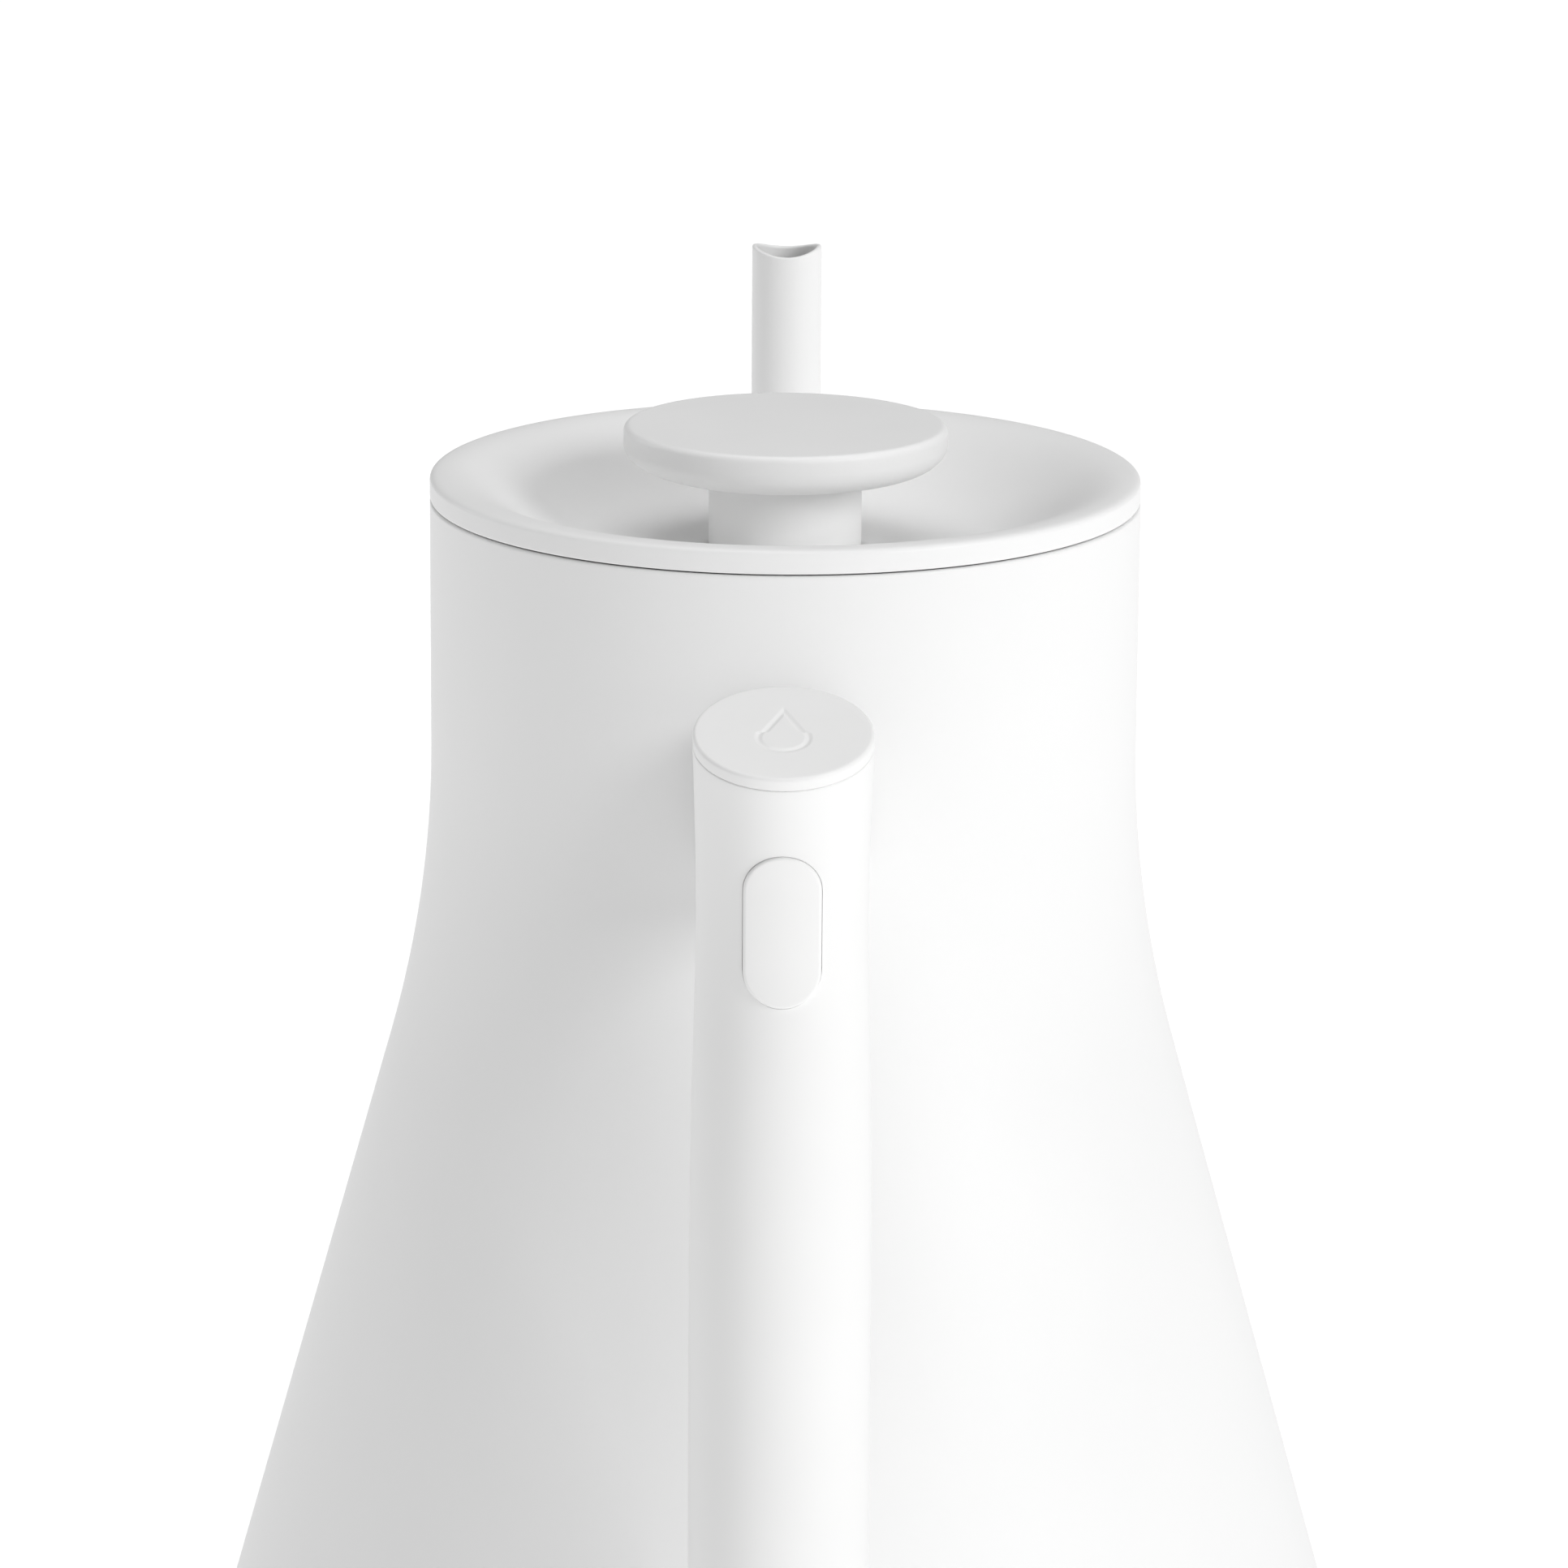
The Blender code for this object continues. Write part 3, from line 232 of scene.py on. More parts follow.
def plain_steel():
    """Pressed sheet steel with a fine brushed grain along X."""
    made, shader, here = material("brushed steel", {"Metallic": 1.0, "Anisotropic": 0.3})
    settings = {"operation": "MULTIPLY"}
    along = here.node("ShaderNodeVectorMath", settings=settings, i0=here, i1=(0.05, 1, 1))
    marks = along.noise(5200.0, 3.0, 0.65)
    feed(
        shader,
        Base_Color=marks.tint((0.5, 0.5, 0.5), (0.66, 0.655, 0.65)),
        Roughness=(marks * 0.2 + 0.26),
        Normal=bumped(marks, 0.3, 0.00003),
    )
    return made


def silicone():
    """Matt grey silicone with a soft bloom and fine mottling."""
    made, shader, here = material("grey silicone", {"Specular IOR Level": 0.35})
    bloom = here.noise(300.0, 4.0, 0.6)
    feed(
        shader,
        Base_Color=bloom.tint((0.34, 0.34, 0.345), (0.46, 0.46, 0.46)),
        Roughness=(bloom * 0.2 + 0.55),
        Normal=bumped(here.noise(3000.0, 2.0), 0.2, 0.00004),
    )
    return made


def nickel():
    """Nickel plate on a magnet with faint tumbling marks."""
    made, shader, here = material("nickel plate", {"Metallic": 1.0})
    marks = here.noise(2400.0, 4.0, 0.65)
    feed(
        shader,
        Base_Color=marks.tint((0.4, 0.39, 0.38), (0.56, 0.55, 0.53)),
        Roughness=(marks * 0.25 + 0.2),
        Normal=bumped(marks, 0.2, 0.00003),
    )
    return made


# ---------- shapes ----------

def skin(name, grid, around=True, along=False):
    """Mesh over a grid of points: one face between four neighbours, equal points welded.

    around closes each row on itself and along joins the last row to the first.
    """
    rows, columns = grid.shape[:2]
    spots, which = np.unique(np.round(grid.reshape(-1, 3), 6), axis=0, return_inverse=True)
    which = which.reshape(rows, columns)
    down = np.arange(rows if along else rows - 1)
    across = np.arange(columns if around else columns - 1)
    i, j = np.meshgrid(down, across, indexing="ij")
    i2, j2 = (i + 1) % rows, (j + 1) % columns
    quads = np.stack([which[i, j], which[i, j2], which[i2, j2], which[i2, j]], -1).reshape(-1, 4)
    a, b, c = spots[quads[:, 0]], spots[quads[:, 1]], spots[quads[:, 2]]
    d = spots[quads[:, 3]]
    volume = np.sum(a * np.cross(b, c)) + np.sum(a * np.cross(c, d))
    if volume < 0:
        quads = quads[:, ::-1]
    same = quads == np.roll(quads, -1, axis=1)
    whole = quads[~same.any(axis=1)]
    folded = quads[same.sum(axis=1) == 1]
    keep = ~(folded == np.roll(folded, -1, axis=1))
    triangles = folded[keep].reshape(-1, 3)
    mesh = bpy.data.meshes.new(name)
    mesh.from_pydata((spots * MM).tolist(), [], whole.tolist() + triangles.tolist())
    mesh.polygons.foreach_set("use_smooth", np.ones(len(mesh.polygons), bool))
    piece = bpy.data.objects.new(name, mesh)
    bpy.context.collection.objects.link(piece)
    return piece


def outline(points, loop=False, steps=6):
    """Dense outline from (a, b, corner radius) points, with an arc at each corner that has a radius."""
    spots = np.array([point[:2] for point in points], float)
    radii = [point[2] if len(point) > 2 else 0.0 for point in points]
    count = len(spots)
    made = []
    for place, (spot, radius) in enumerate(zip(spots, radii)):
        if radius == 0 or (not loop and place in (0, count - 1)):
            made.append(spot)
            continue
        before = spots[place - 1] - spot
        after = spots[(place + 1) % count] - spot
        room = 0.48 * min(np.linalg.norm(before), np.linalg.norm(after))
        before, after = before / np.linalg.norm(before), after / np.linalg.norm(after)
        half = 0.5 * np.arccos(np.clip(before @ after, -1, 1))
        reach = min(radius / np.tan(half), room)
        radius = reach * np.tan(half)
        middle = spot + (before + after) / np.linalg.norm(before + after) * radius / np.sin(half)
        start, end = spot + before * reach - middle, spot + after * reach - middle
        sweep = np.pi - 2 * half
        made.append(spot + before * min(reach * 1.5, room * 1.02))
        for part in np.linspace(0, 1, steps + 1):
            turn = (np.sin((1 - part) * sweep) * start + np.sin(part * sweep) * end) / np.sin(sweep)
            made.append(middle + turn)
        made.append(spot + after * min(reach * 1.5, room * 1.02))
    return np.array(made)


def turned(name, points, around=ROUND, loop=False, steps=6, start=(0, 0, 0), axis=(0, 0, 1)):
    """Surface of revolution: the outline's (radius, height) points swept round an axis."""
    line = outline(points, loop, steps)
    axis = np.array(axis, float) / np.linalg.norm(axis)
    side = np.array([1.0, 0, 0])
    up = np.cross(axis, side)
    angle = np.linspace(0, 2 * np.pi, around, endpoint=False)
    ring = np.cos(angle)[:, None] * side + np.sin(angle)[:, None] * up
    grid = line[:, None, :1] * ring[None] + line[:, None, 1:] * axis + np.array(start, float)
    return skin(name, grid, along=loop)


def raised(points):
    """Outline points given from the seam, moved up to the body's height."""
    return [(radius, BODY_HEIGHT + height, *corner) for radius, height, *corner in points]


def rounded_box(width, height, corner, quarter=14):
    """Rounded rectangle as (x, z) points."""
    turn = np.linspace(0, np.pi / 2, quarter)
    parts = []
    for number, (sx, sz) in enumerate(((1, 1), (-1, 1), (-1, -1), (1, -1))):
        angle = turn + number * np.pi / 2
        x = sx * (width / 2 - corner) + corner * np.cos(angle)
        z = sz * (height / 2 - corner) + corner * np.sin(angle)
        parts.append(np.stack([x, z], -1))
    return np.concatenate(parts)


def loft(name, sections):
    """Skin through rows of points; the flat ends are closed by rows that shrink to their middle."""
    first, last = sections[0], sections[-1]
    low = [first.mean(0) + (first - first.mean(0)) * part for part in (0.0, 0.5, 0.97)]
    high = [last.mean(0) + (last - last.mean(0)) * part for part in (0.97, 0.5, 0.0)]
    return skin(name, np.array(low + sections + high))


def carve(piece, tool):
    """Cuts the tool's shape out of a piece, then drops the tool."""
    change = piece.modifiers.new("cut", "BOOLEAN")
    change.object = tool
    change.operation = "DIFFERENCE"
    change.solver = "EXACT"
    bpy.context.view_layer.objects.active = piece
    with bpy.context.temp_override(object=piece):
        bpy.ops.object.modifier_apply(modifier=change.name)
    bpy.data.objects.remove(tool)
    piece.data.set_sharp_from_angle(angle=np.radians(35))


def body_radius(z):
    """Body's outer radius: a straight neck, a parabolic flare and a straight cone."""
    drop = BODY_HEIGHT - z
    flare = np.clip(drop - NECK_LENGTH, 0, FLARE_LENGTH)
    cone = np.maximum(drop - NECK_LENGTH - FLARE_LENGTH, 0)
    return NECK_RADIUS + CONE_SLOPE * (flare**2 / (2 * FLARE_LENGTH) + cone)


def handle_frame(z):
    """Handle's centre y and lean at height z: upright, then one arc that leans outwards."""
    rise = np.maximum(z - HANDLE_BEND, 0)
    lean = np.arcsin(np.minimum(rise / HANDLE_TURN, 1))
    return HANDLE_Y - HANDLE_TURN * (1 - np.cos(lean)), lean


def handle_radius(z):
    """Handle's radius with a shallow waist at the button."""
    return HANDLE_RADIUS - WAIST_DEPTH * np.exp(-(((z - BUTTON_Z) / WAIST_REACH) ** 2))


def handle_rows(heights, radius, past, around=160):
    """Circles square to the handle's centre line at heights, moved past along it."""
    y, lean = handle_frame(heights)
    angle = np.linspace(0, 2 * np.pi, around, endpoint=False)
    u = radius[:, None] * np.cos(angle)
    v = radius[:, None] * np.sin(angle)
    y, z, lean = (y - past * np.sin(lean))[:, None], (heights + past * np.cos(lean))[:, None], lean[:, None]
    return np.stack([u, y + v * np.cos(lean), z + v * np.sin(lean)], -1)


# ---------- body and spout ----------

def body():
    """Body sheet: neck, flare and cone outside, base corner, recess for the plate and floor inside."""
    lean = np.arctan(CONE_SLOPE)
    corner_top = 6.2 + 5 * np.sin(lean)
    centre_r = body_radius(corner_top) - 5 * np.cos(lean)
    recess = body_radius(0) - 7.7
    z = np.linspace(11.0, BODY_HEIGHT - SEAM - 0.9, 90)
    inside = np.stack([body_radius(z) - WALL, z], -1)
    z = np.linspace(BODY_HEIGHT - SEAM - 0.9, corner_top, 96)
    outside = np.stack([body_radius(z), z], -1)
    angle = np.linspace(lean, -np.pi / 2, 12)
    corner = np.stack([centre_r + 5 * np.cos(angle), 6.2 + 5 * np.sin(angle)], -1)
    top = BODY_HEIGHT - SEAM + 0.12
    rim = outline([(NECK_RADIUS - WALL, top - 0.9), (NECK_RADIUS - WALL, top, 0.3), (NECK_RADIUS, top, 0.4),
                   (NECK_RADIUS, BODY_HEIGHT - SEAM - 0.9)])
    foot = outline([tuple(corner[-1]), (recess, 1.2, 0.5), (recess, 4.0, 0.2), (recess + 1.9, 4.0),
                    (recess + 1.9, 6.0, 0.8), tuple(inside[0])])
    line = np.concatenate([inside[1:-1], rim, outside[1:], corner[1:], foot[1:]])
    piece = turned("kettle_body", line, loop=True)
    root, _, axis = root_frame()
    carve(piece, turned("bore", [(0, -8), (9.25, -8), (9.25, 6), (0, 6)], 64, start=root, axis=axis))
    carve(piece, turned("rod_hole", [(0, -56), (3.2, -56), (3.2, -48), (0, -48)], 48, start=(0, 0, BUTTON_Z),
                        axis=(0, 1, 0)))
    return piece


def root_frame():
    """Spout root's centre on the cone, the direction across it and its outward direction."""
    lean = np.arctan(CONE_SLOPE)
    centre = np.array([0, body_radius(ROOT_HEIGHT), ROOT_HEIGHT])
    return centre, np.array([0, -np.sin(lean), np.cos(lean)]), np.array([0, np.cos(lean), np.sin(lean)])


def floor_disc():
    """Flat disc that closes the body, with a rounded edge."""
    radius = body_radius(0) - 6.1
    points = [(0, 4.3), (40, 4.3), (radius, 4.3, 0.3), (radius, 5.5, 0.3), (40, 5.5), (0, 5.5)]
    return turned("body_floor_disc", points)


def base():
    """Heat-spreading disc with a shallow ring groove near its edge."""
    radius = body_radius(0) - 8
    points = [(0, 0.25), (24, 0.25), (25, 0.0, 1.0), (radius - 7.6, 0, 0.3), (radius - 7, 0.45, 0.3),
              (radius - 6, 0.45, 0.3), (radius - 5.4, 0, 0.3), (radius, 0, 0.8), (radius, 4, 0.8), (0, 4)]
    return turned("base_disc", points)


def spout_line():
    """Spout's centre line as arrays y, z, angle, radius: a stub, one arc, then a straight upright."""
    lean = np.arctan(CONE_SLOPE)
    centre, _, axis = root_frame()
    turn = (STANDOFF - STUB * np.cos(lean)) / (1 - np.sin(lean))
    start = centre - 3.0 * axis
    bend = centre + STUB * axis
    angle = np.linspace(lean, np.pi / 2, 64)
    arc_y = bend[1] + turn * (np.sin(angle) - np.sin(lean))
    arc_z = bend[2] + turn * (np.cos(lean) - np.cos(angle))
    top = BODY_HEIGHT + TIP_RISE
    rise = np.concatenate([np.linspace(arc_z[-1], top - 5, 44)[1:], np.linspace(top - 5, top, 9)[1:]])
    y = np.concatenate([[start[1]], arc_y, np.full(len(rise), arc_y[-1])])
    z = np.concatenate([[start[2]], arc_z, rise])
    angle = np.concatenate([[lean], angle, np.full(len(rise), np.pi / 2)])
    taper_top = arc_z[-1] + (top - arc_z[-1]) * 0.66
    share = np.clip((z - bend[2]) / (taper_top - bend[2]), 0, 1)
    share = share - 0.06 * np.sin(2 * np.pi * share)
    return y, z, angle, SPOUT_ROOT_RADIUS - (SPOUT_ROOT_RADIUS - SPOUT_TIP_RADIUS) * share


def spout():
    """Thin drawn tube swept along its line; the mouth dips at front and back and has a rounded lip."""
    y, z, angle, radius = spout_line()
    turn = np.linspace(0, 2 * np.pi, 96, endpoint=False)

    def rows(shrink):
        r = (radius - shrink)[:, None]
        u, v = r * np.cos(turn), r * np.sin(turn)
        lean = angle[:, None]
        near = np.clip((z - (BODY_HEIGHT + TIP_RISE - 5)) / 5, 0, 1)[:, None]
        dip = SADDLE * np.sin(turn) ** 2 * near**1.5
        return np.stack([u, y[:, None] - v * np.sin(lean), z[:, None] + v * np.cos(lean) - dip], -1)

    lip_rise = 0.32
    lip = []
    last_out, last_in = rows(0.0)[-1], rows(SPOUT_WALL)[-1]
    across = last_in - last_out
    for part in np.linspace(0, 1, 9)[1:-1]:
        bulge = np.sqrt(max(1 - (2 * part - 1) ** 2, 0)) * lip_rise
        row = last_out + across * part
        row[:, 2] += bulge - lip_rise
        lip.append(row)
    outer, inner = rows(0.0), rows(SPOUT_WALL)
    outer[-1, :, 2] -= lip_rise
    inner[-1, :, 2] -= lip_rise
    grid = np.concatenate([outer, np.array(lip), inner[::-1]])
    return skin("spout_pipe", grid, along=True)


def collar():
    """Fillet ring round the spout's root: rings about the root axis laid on the cone and raised off it."""
    centre, across, axis = root_frame()
    reach = np.linspace(0, 1, 14)
    flare = np.stack([9.06 + 4.2 * reach, 2.15 * (1 - reach) ** 2.2 + 0.06], -1)
    line = np.concatenate([[(9.06, -0.9)], flare, [(13.4, 0.02), (13.45, -0.12), (13.4, -0.9)]])
    turn = np.linspace(0, 2 * np.pi, 128, endpoint=False)
    side = np.array([1.0, 0, 0])
    ring = np.cos(turn)[:, None] * side + np.sin(turn)[:, None] * across
    flat = centre + line[:, None, :1] * ring[None]
    reach = np.zeros(flat.shape[:2])
    for _ in range(12):
        spot = flat + reach[..., None] * axis
        miss = np.hypot(spot[..., 0], spot[..., 1]) - body_radius(spot[..., 2])
        reach = reach - miss
    grid = flat + (reach + line[:, None, 1])[..., None] * axis
    return skin("spout_fillet", grid, along=True)


# ---------- lid ----------

def lid_profile(depth, mouth, rise, count=60):
    """Bowl's (radius, height) points: a smooth climb whose steepest part is near the rim."""
    share = np.linspace(0, 1, count)
    climb = np.sin(np.pi / 2 * share**1.5) ** 2
    return np.stack([DISH_FLOOR + (mouth - DISH_FLOOR) * share, -depth + (depth + rise) * climb], -1)


def lid():
    """Pressed lid: rounded rim, smooth bowl and a hole for the stem, one millimetre of sheet."""
    crest = NECK_RADIUS - 2.0
    top = lid_profile(DISH_DEPTH, crest, 3.5)
    angle = np.linspace(np.pi / 2, 0, 18)[1:]
    rim = np.stack([crest + 2.0 * np.cos(angle) ** 0.62, 2.6 + 0.9 * np.sin(angle) ** 0.8], -1)
    edge = outline([(NECK_RADIUS, 2.6), (NECK_RADIUS, 0.0, 0.35), (NECK_RADIUS - 3.6, 0.0)])[1:]
    under = lid_profile(DISH_DEPTH + 1, NECK_RADIUS - 3.6, 0.0)[::-1]
    hole_top = [(9.9, -DISH_DEPTH), (12.5, -DISH_DEPTH)]
    hole_low = [(9.9, -DISH_DEPTH - 1)]
    line = np.concatenate([hole_top, top, rim, edge, under[1:], hole_low])
    line = line + np.array([0, BODY_HEIGHT])
    return turned("lid", line, loop=True)


def skirt():
    """Steel ring under the lid with a turned-in flange."""
    points = [(49, -0.3), (49, -16, 0.9), (46, -16), (46, -15.2), (48.2, -15.2, 0.5), (48.2, -0.3)]
    return turned("skirt_ring", raised(points), loop=True)


def seal():
    """Silicone ring with two soft lips towards the neck."""
    points = [(49.3, -5), (49.8, -5, 0.2), (50.7, -6.4, 0.3), (49.9, -7.6, 0.5), (49.9, -9.4, 0.5),
              (50.7, -10.6, 0.3), (49.8, -12, 0.2), (49.3, -12)]
    return turned("lid_seal", raised(points), loop=True, steps=4)


def knob():
    """Flat round head: soft upper edge, deep elliptic roll below and a small fillet onto the stem."""
    low = KNOB_LOW
    angle = np.linspace(0, np.pi / 2, 16)
    roll = np.stack([KNOB_RADIUS - 6.2 * (1 - np.sin(angle)), low + 3.9 * (1 - np.cos(angle))], -1)
    fillet = np.stack([12.0 + 2.4 * np.sin(angle), low - 0.24 * (1 - np.sin(angle)) ** 2], -1)
    under = outline([(0, low - 3.3), (7.9, low - 3.3, 0.4), (7.9, low - 0.24), (12.0, low - 0.24)])
    points = [(KNOB_RADIUS, low + 3.9), (KNOB_RADIUS, KNOB_TOP, 1.0), (14, KNOB_TOP), (0, KNOB_TOP)]
    over = outline(points, steps=9)
    line = np.concatenate([under, fillet[1:], roll, over[1:]])
    return turned("knob_head", line + np.array([0, BODY_HEIGHT]), 192)


def stem():
    """Hollow stem with a seat on the lid and three steam ports on the spout's side."""
    top = KNOB_LOW - 0.3
    points = [(6.5, STEM_FOOT, 0.2), (9.6, STEM_FOOT, 0.5), (9.6, STEM_SEAT), (STEM_RADIUS, STEM_SEAT, 0.4),
              (STEM_RADIUS, top - 2.2, 2.0), (11.9, top, 0.15), (STEM_BORE, top, 0.2),
              (STEM_BORE, STEM_LEDGE), (6.5, STEM_LEDGE, 0.2)]
    piece = turned("stem_column", raised(points), 144, loop=True, steps=5)
    for degrees in (60, 90, 120):
        out = (np.cos(np.radians(degrees)), np.sin(np.radians(degrees)), 0)
        port = [(0, 5), (1.7, 5), (1.7, 10.75), (2.1, 11.3), (2.1, 14), (0, 14)]
        carve(piece, turned("port", port, 40, start=(0, 0, BODY_HEIGHT - 0.6), axis=out))
    return piece


def washer():
    """Silicone washer with rounded edges."""
    top = -DISH_DEPTH - 1.3
    points = [(9.9, top - 1.2, 0.2), (14, top - 1.2, 0.45), (14, top, 0.45), (9.9, top, 0.2)]
    return turned("washer_ring", raised(points), 128, loop=True)


def nut():
    """Hexagon nut with chamfered corners: a hexagon whose reach is limited by a cone at each end."""
    high = BODY_HEIGHT - DISH_DEPTH - 2.8
    angle = np.linspace(0, 2 * np.pi, 180, endpoint=False)
    within = np.abs((angle % (np.pi / 3)) - np.pi / 6)
    hexagon = 13.0 / np.cos(within)
    rows = []
    limits = ((-3.8, 13.1), (-3.2, 14.2), (-3.1, 15.2), (-0.7, 15.2), (-0.6, 14.2), (0.0, 13.1))
    for height, limit in limits:
        r = np.minimum(hexagon, limit)
        rows.append(np.stack([r * np.cos(angle), r * np.sin(angle), np.full(180, high + height)], -1))
    bore = []
    for height in (0.0, -3.8):
        bore.append(np.stack([9.9 * np.cos(angle), 9.9 * np.sin(angle), np.full(180, high + height)], -1))
    piece = skin("hexagon_nut", np.array(rows + bore), along=True)
    piece.data.set_sharp_from_angle(angle=np.radians(25))
    return piece


def whistle():
    """Hole-tone whistle: a drawn cup and a disc above it, each with a small centre hole."""
    low = BODY_HEIGHT + STEM_LEDGE + 0.3
    cup = [(1.3, low, 0.15), (7.9, low, 0.9), (7.9, low + 6, 0.15), (7.1, low + 6, 0.15),
           (7.1, low + 0.8, 0.4), (1.3, low + 0.8, 0.15)]
    disc_low = low + 6.3
    disc_top = disc_low + 0.8
    disc = [(1.3, disc_low, 0.15), (7.9, disc_low, 0.2), (7.9, disc_top, 0.3), (1.3, disc_top, 0.15)]
    return turned("whistle_shell", cup, 96, loop=True), turned("whistle_plate", disc, 96, loop=True)


# ---------- handle ----------

def grip():
    """Moulded tube swept along the handle's line, with a slot for the button and a socket for the arm."""
    middle = HANDLE_TOP - 60
    heights = np.concatenate([np.linspace(HANDLE_LOW, middle, 24), np.linspace(middle, HANDLE_TOP, 50)[1:]])
    radius = handle_radius(heights)
    still = np.zeros(len(heights))
    outer = handle_rows(heights[1:-1], radius[1:-1], still[1:-1])
    inner = handle_rows(heights, radius - HANDLE_WALL, still)[::-1]
    ends = []
    for z, way in ((HANDLE_LOW, 1), (HANDLE_TOP, -1)):
        r = handle_radius(z)
        turn = np.linspace(0, np.pi / 2, 6)
        steps = [(r - 0.22 * (1 - np.sin(a)), way * 0.22 * (1 - np.cos(a))) for a in turn]
        steps = steps if way > 0 else steps[::-1]
        for size, past in steps:
            ends.append(handle_rows(np.array([z]), np.array([size]), np.array([past]))[0])
    grid = np.concatenate([np.array(ends[:6]), outer, np.array(ends[6:]), inner])
    piece = skin("grip_tube", grid, along=True)
    gap = 0.06
    tool = []
    for y in (-140, -108):
        flat = rounded_box(BUTTON_WIDTH + 2 * gap, BUTTON_HEIGHT + 2 * gap, BUTTON_WIDTH / 2 + gap)
        tool.append(np.stack([flat[:, 0], np.full(len(flat), y), flat[:, 1] + BUTTON_Z], -1))
    carve(piece, loft("slot", tool))
    flat = rounded_box(15.5, 20.5, 7.25)
    tool = [np.stack([flat[:, 0], np.full(len(flat), y), flat[:, 1] + BUTTON_Z], -1) for y in (-110, -90)]
    carve(piece, loft("socket", tool))
    return piece


def drop_outline(x, v):
    """Signed distance-like value of a water drop: negative inside. It is a circle with a pointed top."""
    low = np.hypot(x, v + 1.35) - 3.3
    tip = np.abs(x) * 0.905 + (v - 5.3) * 0.425
    shoulder = -1.35 + 3.3 * 0.425
    return np.where(v > shoulder, np.maximum(tip, -99.0), low)


def cap():
    """Disc square to the handle's end with a soft edge and a shallow drop-shaped groove."""
    z = np.array([HANDLE_TOP])
    r = float(handle_radius(HANDLE_TOP))
    spigot = r - 2.5
    line = outline([(spigot, -4, 0.0), (spigot, 0.08), (r, 0.08, 0.1), (r, 1.9, 0.5), (r - 1.6, 1.9)])
    around = 256
    angle = np.linspace(0, 2 * np.pi, around, endpoint=False)
    y0, lean = handle_frame(HANDLE_TOP)
    sizes = np.concatenate([[0.0, spigot * 0.6], line[:, 0], np.linspace(r - 1.8, 0.0, 90)])
    pasts = np.concatenate([[-4.0, -4.0], line[:, 1], np.full(90, 1.9)])
    x = sizes[:, None] * np.cos(angle)
    v = sizes[:, None] * np.sin(angle)
    past = np.repeat(pasts[:, None], around, 1)
    distance = drop_outline(x, v)
    groove = np.clip(1 - np.abs(distance) / 0.62, 0, 1)
    groove = groove * groove * (3 - 2 * groove)
    top = (np.arange(len(sizes)) >= len(sizes) - 90)[:, None]
    past = past - 0.16 * groove * top
    y = y0 - past * np.sin(lean) + v * np.cos(lean)
    z = HANDLE_TOP + past * np.cos(lean) + v * np.sin(lean)
    return skin("handle_cap", np.stack([x, y, z], -1))


def end_plug():
    """Plug in the handle's lower end with a rounded edge and a round recess for the screw."""
    radius = float(handle_radius(HANDLE_LOW))
    low = HANDLE_LOW
    points = [(0, low - 3), (radius, low - 3, 1.4), (radius, low - 0.3, 0.2), (radius - 2.5, low - 0.3),
              (radius - 2.5, low + 5, 0.4), (0, low + 5)]
    piece = turned("handle_plug", points, 128, start=(0, HANDLE_Y, 0))
    place = (0, HANDLE_Y + 3.498, 0)
    hole = [(0, low - 5), (3.3, low - 5), (3.3, low - 3.2), (2.9, low - 2.8), (2.9, low - 1.2),
            (1.6, low - 1.2), (1.6, low + 2), (2.5, low + 2), (2.5, low + 6), (0, low + 6)]
    carve(piece, turned("plug_hole", hole, 48, start=place))
    return piece


def button():
    """Oblong button: its face follows the handle and rolls over to the sides, with a keeping lip behind."""
    rows = []
    back = HANDLE_Y - 5.602

    def row(width, y, follow=False, sink=0.0):
        height = width + BUTTON_HEIGHT - BUTTON_WIDTH
        flat = rounded_box(width, height, width / 2 - 1e-4, 20)
        z = flat[:, 1] + BUTTON_Z
        if follow:
            centre, lean = handle_frame(z)
            curve = 0.75 * (flat[:, 0] / (BUTTON_WIDTH / 2)) ** 2
            y = centre - handle_radius(z) / np.cos(lean) - 0.4 + sink + curve
        else:
            y = np.full(len(flat), float(y))
        return np.stack([flat[:, 0], y, z], -1)

    lip = ((0.4, 0), (6.0, 0), (12.3, 0), (12.4, 0.15), (12.4, 0.9), (12.3, 1.0))
    for width, forward in lip:
        rows.append(row(width, back - forward))
    rows.append(row(BUTTON_WIDTH, back - 1.0))
    rows.append(row(BUTTON_WIDTH, back - 3.0))
    rows.append(row(BUTTON_WIDTH, 0, True, 1.5))
    for angle in np.linspace(0, np.pi / 2, 8):
        rows.append(row(BUTTON_WIDTH - 0.9 * (1 - np.cos(angle)), 0, True, 0.45 * (1 - np.sin(angle))))
    for width in (9.3, 8.6, 8.0, 6.5, 4.5, 2.5, 1.0, 0.4):
        rows.append(row(width, 0, True))
    rows[0][:] = rows[0].mean(0)
    spine = rows[-1].copy()
    spine[:, 0] = 0
    rows.append(spine)
    piece = skin("release_button", np.array(rows))
    carve(piece, turned("rod_socket", [(0, 0), (1.8, 0), (1.8, 6), (0, 6)], 32,
                        start=(0, back - 2.8, BUTTON_Z), axis=(0, 1, 0)))
    return piece


